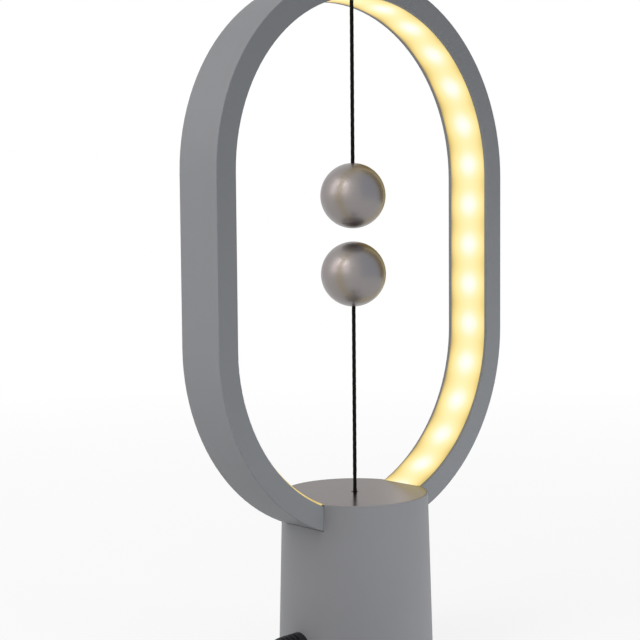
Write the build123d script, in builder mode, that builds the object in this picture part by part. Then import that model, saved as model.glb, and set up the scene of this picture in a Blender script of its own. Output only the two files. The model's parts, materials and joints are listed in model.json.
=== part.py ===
"""Magnetic balance lamp: a lit stadium ring on a tapered base, with two magnetic balls on cords.

Millimetres, +Z up. The origin is the middle of the base's foot, on the surface it stands on.
The ring lies in the XZ plane and its front face looks along -Y. The lamp is modelled switched on:
the lower ball stands on its taut cord, held up by the pull of the magnet in the upper ball.
"""

import os
from math import atan2, cos, degrees, dist, pi, radians, sin, tan

from build123d import *

os.makedirs("parts", exist_ok=True)

# ---------------------------------------------------------------- driving dimensions
BASE_HEIGHT = 88.0
BASE_TOP_RADIUS = 37.7
BASE_TAPER = 0.028  # radius gained per millimetre down from the top
BASE_FOOT_GAP = 0.8  # the shell's lower edge stays this far off the table
BASE_WALL = 2.5

RING_OUTER_RADIUS = 100.0
RING_THICKNESS = 11.7
RING_DEPTH = 27.8
RING_STRAIGHT = 82.5
RING_CENTRE_Z = 209.5

DISC_RADIUS = 37.1
DISC_THICKNESS = 1.2
CORD_HOLE_RADIUS = 1.95
CORD_GUIDE_RADIUS = 4.5
CORD_GUIDE_BORE_RADIUS = 1.7
CORD_GUIDE_Z = 80.5

BALL_RADIUS = 16.65
BALL_WALL = 1.5
UPPER_BALL_Z = 240.6
LOWER_BALL_Z = 200.65
STRING_RADIUS = 1.0

LEAD_RADIUS = 2.0
LEAD_EXIT_Z = 15.2

# ---------------------------------------------------------------- values worked out from them
RING_INNER_RADIUS = RING_OUTER_RADIUS - RING_THICKNESS
RING_HALF_DEPTH = RING_DEPTH / 2
RING_FOOT_Z = RING_CENTRE_Z - RING_STRAIGHT / 2  # centre of the ring's lower half circle
RING_HEAD_Z = RING_CENTRE_Z + RING_STRAIGHT / 2  # centre of the ring's upper half circle
DISC_UNDERSIDE_Z = BASE_HEIGHT - DISC_THICKNESS

# Ring section, as radii from the arc centres and distances from the ring's middle plane.
SKIN = 1.8  # front wall and back cover
STRIP_BED_RADIUS = RING_OUTER_RADIUS - 3.2  # the strip is stuck to this inner face of the rim
COVER_REBATE_RADIUS = RING_OUTER_RADIUS - 2.0
DIFFUSER_FACE_RADIUS = RING_INNER_RADIUS
DIFFUSER_FOOT_RISE = 1.2  # below the straights the face comes in, by this much at the foot
DIFFUSER_THICKNESS = 1.5
LEDGE_RADIUS = DIFFUSER_FACE_RADIUS + DIFFUSER_THICKNESS
LEDGE_HEIGHT = 1.2
LEDGE_DEPTH = 1.0
INNER_HALF_DEPTH = RING_HALF_DEPTH - SKIN
RING_END_X = 15.0  # the ring stops here inside the base, each side of the switch
END_BLOCK_X = 26.5
DIFFUSER_END_X = 18.0
WIRE_CHANNEL_RADIUS = 92.0
WIRE_CHANNEL_WIDTH = 4.0
EDGE_FILLET = 0.4

STRIP_THICKNESS = 0.8
STRIP_WIDTH = 10.0
STRIP_END_X = 27.3
STRIP_START_ANGLE = 5.5  # degrees from the top of the ring, clear of the cord anchor
LED_PITCH = 21.9  # measured along the diffuser's face
LEDS_PER_SIDE = 15
LED_SIZE = 3.5
LED_HEIGHT = 1.6

# Base interior, from the foot up.
FOOT_PAD_RADIUS = 35.0
FOOT_PAD_HEIGHT = 1.5
COVER_RADIUS = 37.2
COVER_TOP_Z = 4.0
BALLAST_TOP_Z = 13.0
BALLAST_RADIUS = 31.0
BOSS_RADIUS = 3.4
BOSS_X, BOSS_Y = 16.35, 23.35
RIB_REACH = 1.1665  # the rib from boss to wall has its middle this much further out than the boss
RIB_LENGTH = 10.1
RIB_WIDTH = 2.0
BOSSES = [(sx * BOSS_X, sy * BOSS_Y) for sx in (-1, 1) for sy in (-1, 1)]
CHASSIS_Z = 60.0
CHASSIS_TOP_Z = 63.0
CHASSIS_RADIUS = 32.0
BOARD_Z = 50.4
BOARD_TOP_Z = 52.0
BOARD_X, BOARD_Y = 40.0, 30.0
BOARD_FIXINGS = [(sx * 16.5, sy * 11.5) for sx in (-1, 1) for sy in (-1, 1)]
RING_SCREWS = [(sx * 22.0, sy * 6.0) for sx in (-1, 1) for sy in (-1, 1)]
CAGE_SCREWS = [(sx * 6.4, sy * 6.4) for sx in (-1, 1) for sy in (-1, 1)]
BALLAST_SCREWS = [(-10.0, 0.0), (10.0, 0.0)]
M3_RADIUS = 1.5
M2_5_RADIUS = 1.25
M2_RADIUS = 1.0

# Switch, worked by the lower cord.
SLIDER_RADIUS = 4.0
SLIDER_Z = 70.5
SLIDER_TOP_Z = 72.3
SLIDER_STEM_RADIUS = 2.4
SLIDER_STEM_TOP_Z = 77.8
CAGE_HALF = 8.5
CAGE_BORE_RADIUS = 4.2
CAGE_FLOOR_Z = 64.3
CAGE_CEILING_Z = 78.5
CAGE_TOP_Z = 80.0
SWITCH_Z, SWITCH_TOP_Z = 74.0, 80.5
SWITCH_Y, SWITCH_BACK_Y = 10.2, 16.0
SWITCH_HALF_X = 6.4
SWITCH_SCREW_X, SWITCH_SCREW_Z = 3.25, 78.0
TERMINAL_X = 4.8
LEVER_Z, LEVER_TOP_Z = 72.35, 72.75
LEVER_Y, LEVER_WIDTH = 12.75, 3.5
PLUNGER_X, PLUNGER_Y = -2.0, 12.8
PLUNGER_RADIUS = 0.8
SPRING_WIRE_RADIUS = 0.3
SPRING_RADIUS = 3.2
SPRING_TURNS = 5

# Cords: every pivot stands where the cord bends.
LOWER_PIVOT_Z = BASE_HEIGHT + 1.6
UPPER_PIVOT_Z = RING_HEAD_Z + DIFFUSER_FACE_RADIUS - 2.0
PIVOT_GAP = 1.0  # each cord piece ends this far from the pivot it turns about
BEAD_RADIUS = 0.75
NECK_RADIUS = 0.45
NECK_LENGTH = 8.0
LINK_START = 7.0
BEND_HEIGHT = 46.0  # from the lower pivot to the place where the slack cord folds
KNOT_RADIUS = 1.9
KNOT_HEIGHT = 12.2  # from the ball's centre

# Magnets and their carriers, as heights from the ball's centre towards the other ball.
MAGNET_RADIUS = 8.0
MAGNET_NEAR, MAGNET_FAR = 7.0, 12.0
CARRIER_BACK = 3.0

# Anchor of the upper cord, inside the top of the ring.
ANCHOR_Z = 342.0
STUB_KNOT_Z = 345.4
ANCHOR_SCREWS = [(-5.5, 0.0), (5.5, 0.0)]

# Power lead: boot, clamp, coil and plug.
BOOT_RADIUS = 6.8
BOOT_GROOVE_X, BOOT_GROOVES = 44.0, 6  # the first groove, and how many
BOOT_GROOVE_PITCH, BOOT_GROOVE_WIDTH = 2.6, 1.0
BOOT_GROOVE_DEPTH = 1.1
BOOT_RIBBED_X = 52.0
BOOT_END_X = 61.5
BOOT_TIP_RADIUS = 3.2
BOOT_HOLE_RADIUS = 4.0
BOOT_FLANGE_RADIUS = 6.0
BOOT_FLANGE_X, BOOT_FLANGE_END_X = -36.4, -34.5
CLAMP_X = -26.0
CLAMP_LENGTH = 6.0
CLAMP_HALF_WIDTH = 8.0
CLAMP_SCREW_Y = 5.4
LEAD_INNER_END_X = -20.0
WIRE_RADIUS = 0.6

COIL_CENTRE = (-70.0, -70.0)
COIL_RADIUS = 25.5
COIL_PITCH = 4.5
COIL_LAYERS = 4
COIL_HALF_TURNS = 4  # level half turns in a layer, apart from the half turn that climbs
LEAD_DIAMETER = 2 * LEAD_RADIUS
FLOOR_Z = LEAD_RADIUS + 0.1
PLUG_Z = 4.3
PLUG_NECK = 7.0
PLUG_LENGTH = 24.0
PLUG_WIDTH = 15.5
PLUG_HEIGHT = 8.2
SHELL_LENGTH = 18.7
SHELL_WIDTH = 12.0
SHELL_HEIGHT = 4.5


def base_radius(z):
    """Outer radius of the tapered base at height z."""
    return BASE_TOP_RADIUS + BASE_TAPER * (BASE_HEIGHT - z)


def ring_plane(y):
    """Plane across the ring at depth y: local X is X, local Y is Z, and it extrudes towards -Y."""
    return Plane(origin=(0, y, RING_CENTRE_Z), x_dir=(1, 0, 0), z_dir=(0, -1, 0))


def foot_plane(y):
    """The same plane, centred on the ring's lower half circle."""
    return Plane(origin=(0, y, RING_FOOT_Z), x_dir=(1, 0, 0), z_dir=(0, -1, 0))


def save(builder, label):
    """Label a finished piece and write it as a STEP file."""
    builder.part.label = label
    export_step(builder.part, f"parts/{label}.step")


def ring_band(outer, inner, y_front, y_back, mode=Mode.ADD):
    """Extrude a stadium band between two radii, from y_front to y_back, in the current part."""
    with BuildSketch(ring_plane(y_back)) as band:
        SlotCenterToCenter(RING_STRAIGHT, 2 * outer, rotation=90)
        SlotCenterToCenter(RING_STRAIGHT, 2 * inner, rotation=90, mode=Mode.SUBTRACT)
    extrude(band.sketch, amount=y_back - y_front, mode=mode)


def open_foot(end_x):
    """Cut the current ring piece away between -end_x and end_x at its foot."""
    with BuildSketch(foot_plane(RING_HALF_DEPTH + 1)) as gap:
        with Locations((0, -RING_OUTER_RADIUS)):
            Rectangle(2 * end_x, RING_OUTER_RADIUS)
    extrude(gap.sketch, amount=RING_DEPTH + 2, mode=Mode.SUBTRACT)


def screw(positions, z_shoulder, shank_radius, shank, head_radius, head):
    """Upright screws: shank runs up (or down, if negative) from the shoulder, the head the other way."""
    column(positions, min(z_shoulder, z_shoulder + shank), max(z_shoulder, z_shoulder + shank), shank_radius)
    head_end = z_shoulder - head if shank > 0 else z_shoulder + head
    column(positions, min(z_shoulder, head_end), max(z_shoulder, head_end), head_radius)


def column(positions, z_low, z_high, radius, mode=Mode.ADD):
    """Round columns or holes between two heights, in the current part."""
    with BuildSketch(Plane.XY.offset(z_low)) as rounds:
        with Locations(*positions):
            Circle(radius)
    extrude(rounds.sketch, amount=z_high - z_low, mode=mode)


def slab(x_size, y_size, z_low, z_high, centre=(0, 0), mode=Mode.ADD):
    """A rectangular block between two heights, in the current part."""
    with BuildSketch(Plane.XY.offset(z_low)) as block:
        with Locations(centre):
            Rectangle(x_size, y_size)
    extrude(block.sketch, amount=z_high - z_low, mode=mode)


def corner_radii(points, share=0.45):
    """Arc radius for each inner corner of a route: 0.45 of the shorter run over tan(half the turn)."""
    radii = []
    for before, at, after in zip(points, points[1:], points[2:]):
        run_in, run_out = Vector(*at) - Vector(*before), Vector(*after) - Vector(*at)
        half_turn = radians(run_in.get_angle(run_out)) / 2
        radii.append(share * min(run_in.length, run_out.length) / tan(half_turn))
    return radii


def tube(points, radius, start_direction):
    """Sweep a round section along a route with rounded corners, in the current part."""
    with BuildLine() as route:
        FilletPolyline(*points, radius=corner_radii(points))
    with BuildSketch(Plane(origin=points[0], z_dir=start_direction)) as section:
        Circle(radius)
    path = route.wires()[0]
    sweep(section.sketch, path=path)
    return path.length


# ================================================================ base
with BuildPart() as base_shell:
    with BuildSketch(Plane.XZ):
        with BuildLine():
            Polyline(
                (base_radius(BASE_FOOT_GAP), BASE_FOOT_GAP),
                (base_radius(BASE_HEIGHT - 0.2), BASE_HEIGHT - 0.2),
                (BASE_TOP_RADIUS - 0.2, BASE_HEIGHT),
                (DISC_RADIUS + 0.05, BASE_HEIGHT),
                (DISC_RADIUS + 0.05, DISC_UNDERSIDE_Z),
                (DISC_RADIUS - 2.7, DISC_UNDERSIDE_Z),
                (DISC_RADIUS - 2.7, DISC_UNDERSIDE_Z - 2.0),
                (base_radius(83.9) - BASE_WALL, 83.9),
                (base_radius(BASE_FOOT_GAP) - BASE_WALL, BASE_FOOT_GAP),
                close=True,
            )
        make_face()
    revolve(axis=Axis.Z)
    for x, y in BOSSES:
        turn = degrees(atan2(y, x))
        with BuildSketch(Plane.XY.offset(COVER_TOP_Z)):
            with Locations((x, y)):
                Circle(BOSS_RADIUS)
            with Locations(Location((x * RIB_REACH, y * RIB_REACH), turn)):
                Rectangle(RIB_LENGTH, RIB_WIDTH)
        extrude(amount=CHASSIS_Z - COVER_TOP_Z)
    column(BOSSES, COVER_TOP_Z, COVER_TOP_Z + 9, M3_RADIUS, Mode.SUBTRACT)
    column(BOSSES, CHASSIS_Z - 9, CHASSIS_Z, M3_RADIUS, Mode.SUBTRACT)
    # Two slots at the rim take the ring's arms.
    with BuildSketch(foot_plane(RING_HALF_DEPTH + 0.15)):
        Circle(RING_OUTER_RADIUS + 0.1)
    extrude(amount=RING_DEPTH + 0.3, mode=Mode.SUBTRACT)
    # Hole for the neck of the cord boot.
    with BuildSketch(Plane(origin=(-30, 0, LEAD_EXIT_Z), x_dir=(0, 1, 0), z_dir=(-1, 0, 0))):
        Circle(BOOT_HOLE_RADIUS)
    extrude(amount=12, mode=Mode.SUBTRACT)
save(base_shell, "base_shell")

with BuildPart() as top_disc:
    with BuildSketch(Plane.XY.offset(DISC_UNDERSIDE_Z)):
        Circle(DISC_RADIUS)
        Circle(CORD_HOLE_RADIUS, mode=Mode.SUBTRACT)
    extrude(amount=DISC_THICKNESS)
    chamfer(top_disc.edges().filter_by(GeomType.CIRCLE).group_by(Axis.Z)[-1], 0.15)
    # The ring's inner face comes up through the disc at both ends of the ring.
    for half_depth, face, rise in (
        (RING_HALF_DEPTH, RING_INNER_RADIUS, 0),
        (INNER_HALF_DEPTH, DIFFUSER_FACE_RADIUS, DIFFUSER_FOOT_RISE),
    ):
        with BuildSketch(foot_plane(half_depth + 0.15)):
            with Locations((0, -80)):
                Rectangle(90, 40)
            with Locations((0, rise)):
                Circle(face - 0.1, mode=Mode.SUBTRACT)
        extrude(amount=2 * half_depth + 0.3, mode=Mode.SUBTRACT)
save(top_disc, "top_disc")

with BuildPart() as cord_guide:
    with BuildSketch(Plane.XY.offset(CORD_GUIDE_Z)):
        Circle(CORD_GUIDE_RADIUS)
        Circle(CORD_GUIDE_BORE_RADIUS, mode=Mode.SUBTRACT)
    extrude(amount=DISC_UNDERSIDE_Z - CORD_GUIDE_Z)
    fillet(cord_guide.edges().group_by(Axis.Z)[0], 0.4)
save(cord_guide, "cord_guide")

with BuildPart() as bottom_cover:
    with BuildSketch(Plane.XY.offset(FOOT_PAD_HEIGHT)):
        Circle(COVER_RADIUS)
    extrude(amount=COVER_TOP_Z - FOOT_PAD_HEIGHT)
    slab(CLAMP_LENGTH, 2 * CLAMP_HALF_WIDTH, COVER_TOP_Z, LEAD_EXIT_Z, (CLAMP_X, 0))
    clamp_plane = Plane(origin=(CLAMP_X - 5, 0, LEAD_EXIT_Z), x_dir=(0, 1, 0), z_dir=(1, 0, 0))
    with BuildSketch(clamp_plane):
        Circle(LEAD_RADIUS)
    extrude(amount=10, mode=Mode.SUBTRACT)
    clamp_fixings = [(CLAMP_X, -CLAMP_SCREW_Y), (CLAMP_X, CLAMP_SCREW_Y)]
    column(clamp_fixings, LEAD_EXIT_Z - 8, LEAD_EXIT_Z, M2_RADIUS, Mode.SUBTRACT)
    column(BOSSES + BALLAST_SCREWS, FOOT_PAD_HEIGHT, COVER_TOP_Z, M3_RADIUS, Mode.SUBTRACT)
    column(BOSSES + BALLAST_SCREWS, FOOT_PAD_HEIGHT, FOOT_PAD_HEIGHT + 1.4, 3.0, Mode.SUBTRACT)
save(bottom_cover, "bottom_cover")

with BuildPart() as foot_pad:
    column([(0, 0)], 0, FOOT_PAD_HEIGHT, FOOT_PAD_RADIUS)
save(foot_pad, "foot_pad")

with BuildPart() as ballast_weight:
    with BuildSketch(Plane.XY.offset(COVER_TOP_Z)):
        Circle(BALLAST_RADIUS)
        with Locations(*BOSSES):
            Circle(BOSS_RADIUS + 0.5, mode=Mode.SUBTRACT)
        for x, y in BOSSES:
            with Locations(Location((x * RIB_REACH, y * RIB_REACH), degrees(atan2(y, x)))):
                Rectangle(RIB_LENGTH + 0.7, RIB_WIDTH + 1.0, mode=Mode.SUBTRACT)
        with Locations((CLAMP_X, 0)):
            Rectangle(14, 20, mode=Mode.SUBTRACT)
    extrude(amount=BALLAST_TOP_Z - COVER_TOP_Z)
    column(BALLAST_SCREWS, COVER_TOP_Z, COVER_TOP_Z + 6, M3_RADIUS, Mode.SUBTRACT)
save(ballast_weight, "ballast_weight")

with BuildPart() as cover_screws:
    screw(BOSSES + BALLAST_SCREWS, FOOT_PAD_HEIGHT + 1.4, M3_RADIUS, 7.0, 2.8, 1.3)
save(cover_screws, "cover_screws")

# ================================================================ lit ring
with BuildPart() as ring_frame:
    ring_band(RING_OUTER_RADIUS, RING_INNER_RADIUS, -RING_HALF_DEPTH, -INNER_HALF_DEPTH)
    ring_band(RING_OUTER_RADIUS, STRIP_BED_RADIUS, -INNER_HALF_DEPTH, INNER_HALF_DEPTH)
    ring_band(RING_OUTER_RADIUS, COVER_REBATE_RADIUS, INNER_HALF_DEPTH, RING_HALF_DEPTH)
    ring_band(LEDGE_RADIUS + LEDGE_HEIGHT, LEDGE_RADIUS, -INNER_HALF_DEPTH, LEDGE_DEPTH - INNER_HALF_DEPTH)
    fillet(ring_frame.edges().group_by(Axis.Y)[0], EDGE_FILLET)
    fillet(ring_frame.faces().sort_by(Axis.Y)[-1].outer_wire().edges(), EDGE_FILLET)
    # Solid blocks close the ring's two ends inside the base and take its screws.
    with BuildSketch(foot_plane(INNER_HALF_DEPTH)):
        Circle(STRIP_BED_RADIUS + 0.5)
        Circle(LEDGE_RADIUS + 0.1, mode=Mode.SUBTRACT)
        with Locations((0, -RING_OUTER_RADIUS)):
            Rectangle(2 * END_BLOCK_X, 60, mode=Mode.INTERSECT)
    extrude(amount=2 * INNER_HALF_DEPTH)
    open_foot(RING_END_X)
    channel_half = WIRE_CHANNEL_WIDTH / 2
    ring_band(STRIP_BED_RADIUS, WIRE_CHANNEL_RADIUS, -channel_half, channel_half, Mode.SUBTRACT)
    column(RING_SCREWS, CHASSIS_Z, CHASSIS_Z + 18, M3_RADIUS, Mode.SUBTRACT)
    column(ANCHOR_SCREWS, ANCHOR_Z, ANCHOR_Z + 7.6, M2_RADIUS, Mode.SUBTRACT)
save(ring_frame, "ring_frame")

with BuildPart() as ring_back_cover:
    ring_band(COVER_REBATE_RADIUS, RING_INNER_RADIUS, INNER_HALF_DEPTH, RING_HALF_DEPTH)
    ring_band(LEDGE_RADIUS + LEDGE_HEIGHT, LEDGE_RADIUS, INNER_HALF_DEPTH - LEDGE_DEPTH, INNER_HALF_DEPTH)
    # The ledge stops at the solid end blocks of the frame.
    with BuildSketch(foot_plane(INNER_HALF_DEPTH)):
        with Locations((0, -RING_OUTER_RADIUS)):
            Rectangle(2 * END_BLOCK_X + 0.4, 60)
    extrude(amount=LEDGE_DEPTH, mode=Mode.SUBTRACT)
    open_foot(RING_END_X)
save(ring_back_cover, "ring_back_cover")

with BuildPart() as diffuser:
    with BuildSketch(ring_plane(INNER_HALF_DEPTH)):
        SlotCenterToCenter(RING_STRAIGHT, 2 * LEDGE_RADIUS, rotation=90)
        face_straight = RING_STRAIGHT - DIFFUSER_FOOT_RISE
        with Locations((0, DIFFUSER_FOOT_RISE / 2)):
            SlotCenterToCenter(face_straight, 2 * DIFFUSER_FACE_RADIUS, rotation=90, mode=Mode.SUBTRACT)
    extrude(amount=2 * INNER_HALF_DEPTH)
    open_foot(DIFFUSER_END_X)
    column([(0, 0)], UPPER_PIVOT_Z, UPPER_PIVOT_Z + 6, 1.5, Mode.SUBTRACT)
save(diffuser, "diffuser")


def led_places(side):
    """Middle point and tangent angle of each LED on one side, at the strip's face."""
    face = STRIP_BED_RADIUS - STRIP_THICKNESS - 0.03
    quarter = DIFFUSER_FACE_RADIUS * pi / 2
    places = []
    for count in range(1, LEDS_PER_SIDE + 1):
        run = count * LED_PITCH
        if run < quarter:
            turn = run / DIFFUSER_FACE_RADIUS
            spot = (face * sin(turn), RING_HEAD_Z + face * cos(turn))
        elif run < quarter + RING_STRAIGHT:
            turn = pi / 2
            spot = (face, RING_HEAD_Z - (run - quarter))
        else:
            turn = pi / 2 + (run - quarter - RING_STRAIGHT) / DIFFUSER_FACE_RADIUS
            spot = (face * sin(turn), RING_FOOT_Z + face * cos(turn))
        places.append((side * spot[0], spot[1], side * turn))
    return places


for side, word in ((-1, "left"), (1, "right")):
    with BuildPart() as led_strip:
        ring_band(STRIP_BED_RADIUS, STRIP_BED_RADIUS - STRIP_THICKNESS, -STRIP_WIDTH / 2, STRIP_WIDTH / 2)
        # Keep one side, from beside the cord anchor down to the end block.
        with BuildSketch(ring_plane(STRIP_WIDTH)):
            with Locations((-side * 200, 0)):
                Rectangle(400 + 2 * STRIP_BED_RADIUS * sin(radians(STRIP_START_ANGLE)), 600)
            with Locations((0, -200)):
                Rectangle(2 * STRIP_END_X, 200)
        extrude(amount=2 * STRIP_WIDTH, mode=Mode.SUBTRACT)
    save(led_strip, f"led_strip_{word}")

    with BuildPart() as leds:
        for x, z, turn in led_places(side):
            outward = (sin(turn), 0, cos(turn))
            with BuildSketch(Plane(origin=(x, 0, z), x_dir=(0, 1, 0), z_dir=outward)):
                RectangleRounded(LED_SIZE, LED_SIZE, 0.4)
            extrude(amount=-LED_HEIGHT)
    save(leds, f"leds_{word}")

# ================================================================ cord anchor at the top of the ring
with BuildPart() as upper_cord_anchor:
    with BuildSketch(Plane(origin=(0, 6, RING_HEAD_Z), x_dir=(1, 0, 0), z_dir=(0, -1, 0))):
        Circle(STRIP_BED_RADIUS)
        with Locations((0, ANCHOR_Z - RING_HEAD_Z + 5)):
            Rectangle(16, 10, mode=Mode.INTERSECT)
    extrude(amount=12)
    column([(0, 0)], ANCHOR_Z, STUB_KNOT_Z, STRING_RADIUS + 0.05, Mode.SUBTRACT)
    rim_z = RING_HEAD_Z + STRIP_BED_RADIUS
    column([(0, 0)], STUB_KNOT_Z - KNOT_RADIUS, rim_z, KNOT_RADIUS + 0.2, Mode.SUBTRACT)
    column(ANCHOR_SCREWS, ANCHOR_Z, rim_z, M2_RADIUS, Mode.SUBTRACT)
save(upper_cord_anchor, "upper_cord_anchor")

with BuildPart() as anchor_screws:
    screw(ANCHOR_SCREWS, ANCHOR_Z, M2_RADIUS, 7.6, 1.9, 1.2)
save(anchor_screws, "anchor_screws")

with BuildPart() as upper_cord_stub:
    column([(0, 0)], UPPER_PIVOT_Z + PIVOT_GAP, STUB_KNOT_Z, STRING_RADIUS)
    with Locations((0, 0, STUB_KNOT_Z)):
        Sphere(KNOT_RADIUS)
save(upper_cord_stub, "upper_cord_stub")

# ================================================================ balls on their cords
for word, centre_z, towards in (("upper", UPPER_BALL_Z, -1), ("lower", LOWER_BALL_Z, 1)):
    # The cord comes in at the pole away from the other ball and ends in a knot inside.
    for half, keep in (("top", 1), ("bottom", -1)):
        with BuildPart() as ball_half:
            with Locations((0, 0, centre_z)):
                Sphere(BALL_RADIUS)
                Sphere(BALL_RADIUS - BALL_WALL, mode=Mode.SUBTRACT)
            split(bisect_by=Plane.XY.offset(centre_z), keep=Keep.TOP if keep > 0 else Keep.BOTTOM)
            if keep != towards:
                hole_z = sorted((centre_z, centre_z + keep * BALL_RADIUS))
                column([(0, 0)], *hole_z, STRING_RADIUS + 0.05, Mode.SUBTRACT)
        save(ball_half, f"{word}_ball_{half}")

    carrier_from = centre_z + towards * CARRIER_BACK
    magnet_near = centre_z + towards * MAGNET_NEAR
    magnet_far = centre_z + towards * MAGNET_FAR
    with BuildPart() as magnet_carrier:
        column([(0, 0)], min(carrier_from, magnet_far), max(carrier_from, magnet_far), BALL_RADIUS)
        with Locations((0, 0, centre_z)):
            Sphere(BALL_RADIUS - BALL_WALL, mode=Mode.INTERSECT)
        column([(0, 0)], *sorted((magnet_near, magnet_far)), MAGNET_RADIUS, Mode.SUBTRACT)
    save(magnet_carrier, f"{word}_magnet_carrier")

    with BuildPart() as magnet:
        column([(0, 0)], *sorted((magnet_near, magnet_far)), MAGNET_RADIUS)
        chamfer(magnet.edges(), 0.3)
    save(magnet, f"{word}_magnet")

with BuildPart() as upper_bead:
    with Locations((0, 0, UPPER_PIVOT_Z)):
        Sphere(BEAD_RADIUS)
save(upper_bead, "upper_bead")

with BuildPart() as upper_cord:
    column([(0, 0)], UPPER_BALL_Z + KNOT_HEIGHT, UPPER_PIVOT_Z - PIVOT_GAP, STRING_RADIUS)
    with Locations((0, 0, UPPER_BALL_Z + KNOT_HEIGHT)):
        Sphere(KNOT_RADIUS)
save(upper_cord, "upper_cord")

with BuildPart() as lower_bead:
    with Locations((0, 0, LOWER_PIVOT_Z)):
        Sphere(BEAD_RADIUS)
save(lower_bead, "lower_bead")

# The neck is the cord's core; the link slides down over it when the cord goes slack.
with BuildPart() as lower_neck:
    column([(0, 0)], LOWER_PIVOT_Z + PIVOT_GAP, LOWER_PIVOT_Z + NECK_LENGTH, NECK_RADIUS)
save(lower_neck, "lower_neck")

with BuildPart() as lower_cord_link:
    column([(0, 0)], LOWER_PIVOT_Z + LINK_START, LOWER_PIVOT_Z + BEND_HEIGHT - PIVOT_GAP, STRING_RADIUS)
    bore_top = LOWER_PIVOT_Z + LINK_START + NECK_LENGTH
    column([(0, 0)], LOWER_PIVOT_Z + LINK_START, bore_top, NECK_RADIUS + 0.1, Mode.SUBTRACT)
save(lower_cord_link, "lower_cord_link")

with BuildPart() as lower_cord:
    column([(0, 0)], LOWER_PIVOT_Z + BEND_HEIGHT + PIVOT_GAP, LOWER_BALL_Z - KNOT_HEIGHT, STRING_RADIUS)
    with Locations((0, 0, LOWER_BALL_Z - KNOT_HEIGHT)):
        Sphere(KNOT_RADIUS)
save(lower_cord, "lower_cord")

# ================================================================ chassis and switch
with BuildPart() as chassis:
    column([(0, 0)], CHASSIS_Z, CHASSIS_TOP_Z, CHASSIS_RADIUS)
    # Two saddles carry the ring's ends.
    with BuildSketch(foot_plane(11.8)):
        for side in (-1, 1):
            with Locations((side * 21.75, CHASSIS_TOP_Z + 6 - RING_FOOT_Z)):
                Rectangle(12.5, 12)
        Circle(RING_OUTER_RADIUS + 0.02, mode=Mode.SUBTRACT)
    extrude(amount=23.6)
    column(BOARD_FIXINGS, BOARD_TOP_Z, CHASSIS_Z, 2.5)
    column(BOSSES, CHASSIS_Z, CHASSIS_TOP_Z, M3_RADIUS, Mode.SUBTRACT)
    column(RING_SCREWS, CHASSIS_Z, CHASSIS_Z + 14, M3_RADIUS, Mode.SUBTRACT)
    column(CAGE_SCREWS, CHASSIS_Z, CHASSIS_TOP_Z, M2_5_RADIUS, Mode.SUBTRACT)
    column(BOARD_FIXINGS, BOARD_TOP_Z, BOARD_TOP_Z + 6.5, M2_5_RADIUS, Mode.SUBTRACT)
    column([(-11.8, 0), (11.8, 0)], CHASSIS_Z, CHASSIS_TOP_Z, 2.4, Mode.SUBTRACT)
    slab(14, 3.6, CHASSIS_Z, CHASSIS_TOP_Z, (0, 20), Mode.SUBTRACT)
save(chassis, "chassis")

with BuildPart() as chassis_screws:
    screw(BOSSES, CHASSIS_TOP_Z, M3_RADIUS, -11, 2.8, 2.2)
save(chassis_screws, "chassis_screws")

with BuildPart() as ring_screws:
    screw(RING_SCREWS, CHASSIS_Z, M3_RADIUS, 17.5, 2.75, 2.2)
save(ring_screws, "ring_screws")

with BuildPart() as switch_cage:
    slab(2 * CAGE_HALF, 2 * CAGE_HALF, CHASSIS_TOP_Z, CAGE_TOP_Z)
    bracket_y = SWITCH_BACK_Y + 1.5
    slab(15, bracket_y - CAGE_HALF, CHASSIS_TOP_Z, CAGE_FLOOR_Z, (0, (CAGE_HALF + bracket_y) / 2))
    slab(15, 1.5, CHASSIS_TOP_Z, SWITCH_TOP_Z, (0, SWITCH_BACK_Y + 0.75))
    column([(0, 0)], CAGE_FLOOR_Z, CAGE_CEILING_Z, CAGE_BORE_RADIUS, Mode.SUBTRACT)
    column([(0, 0)], CAGE_CEILING_Z, CAGE_TOP_Z, STRING_RADIUS + 0.7, Mode.SUBTRACT)
    # Window that the slider's arm travels in.
    slab(4, CAGE_HALF, CAGE_FLOOR_Z, SWITCH_Z - 0.5, (0, CAGE_HALF / 2), Mode.SUBTRACT)
    column(CAGE_SCREWS, CHASSIS_TOP_Z, CHASSIS_TOP_Z + 7, M2_5_RADIUS, Mode.SUBTRACT)
    with BuildSketch(Plane(origin=(0, bracket_y, SWITCH_SCREW_Z), x_dir=(1, 0, 0), z_dir=(0, -1, 0))):
        with Locations((-SWITCH_SCREW_X, 0), (SWITCH_SCREW_X, 0)):
            Circle(M2_RADIUS)
    extrude(amount=1.5, mode=Mode.SUBTRACT)
save(switch_cage, "switch_cage")

with BuildPart() as cage_screws:
    screw(CAGE_SCREWS, CHASSIS_Z, M2_5_RADIUS, 9.5, 2.2, 1.8)
save(cage_screws, "cage_screws")

with BuildPart() as microswitch_body:
    depth = SWITCH_BACK_Y - SWITCH_Y
    slab(2 * SWITCH_HALF_X, depth, SWITCH_Z, SWITCH_TOP_Z, (0, (SWITCH_Y + SWITCH_BACK_Y) / 2))
    fillet(microswitch_body.edges().filter_by(Axis.Y), 0.4)
    with BuildSketch(Plane(origin=(0, SWITCH_BACK_Y, SWITCH_SCREW_Z), x_dir=(1, 0, 0), z_dir=(0, -1, 0))):
        with Locations((-SWITCH_SCREW_X, 0), (SWITCH_SCREW_X, 0)):
            Circle(M2_RADIUS)
    extrude(amount=depth, mode=Mode.SUBTRACT)
    column([(PLUNGER_X, PLUNGER_Y)], SWITCH_Z, SWITCH_Z + 2, PLUNGER_RADIUS + 0.05, Mode.SUBTRACT)
save(microswitch_body, "microswitch_body")

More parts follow.
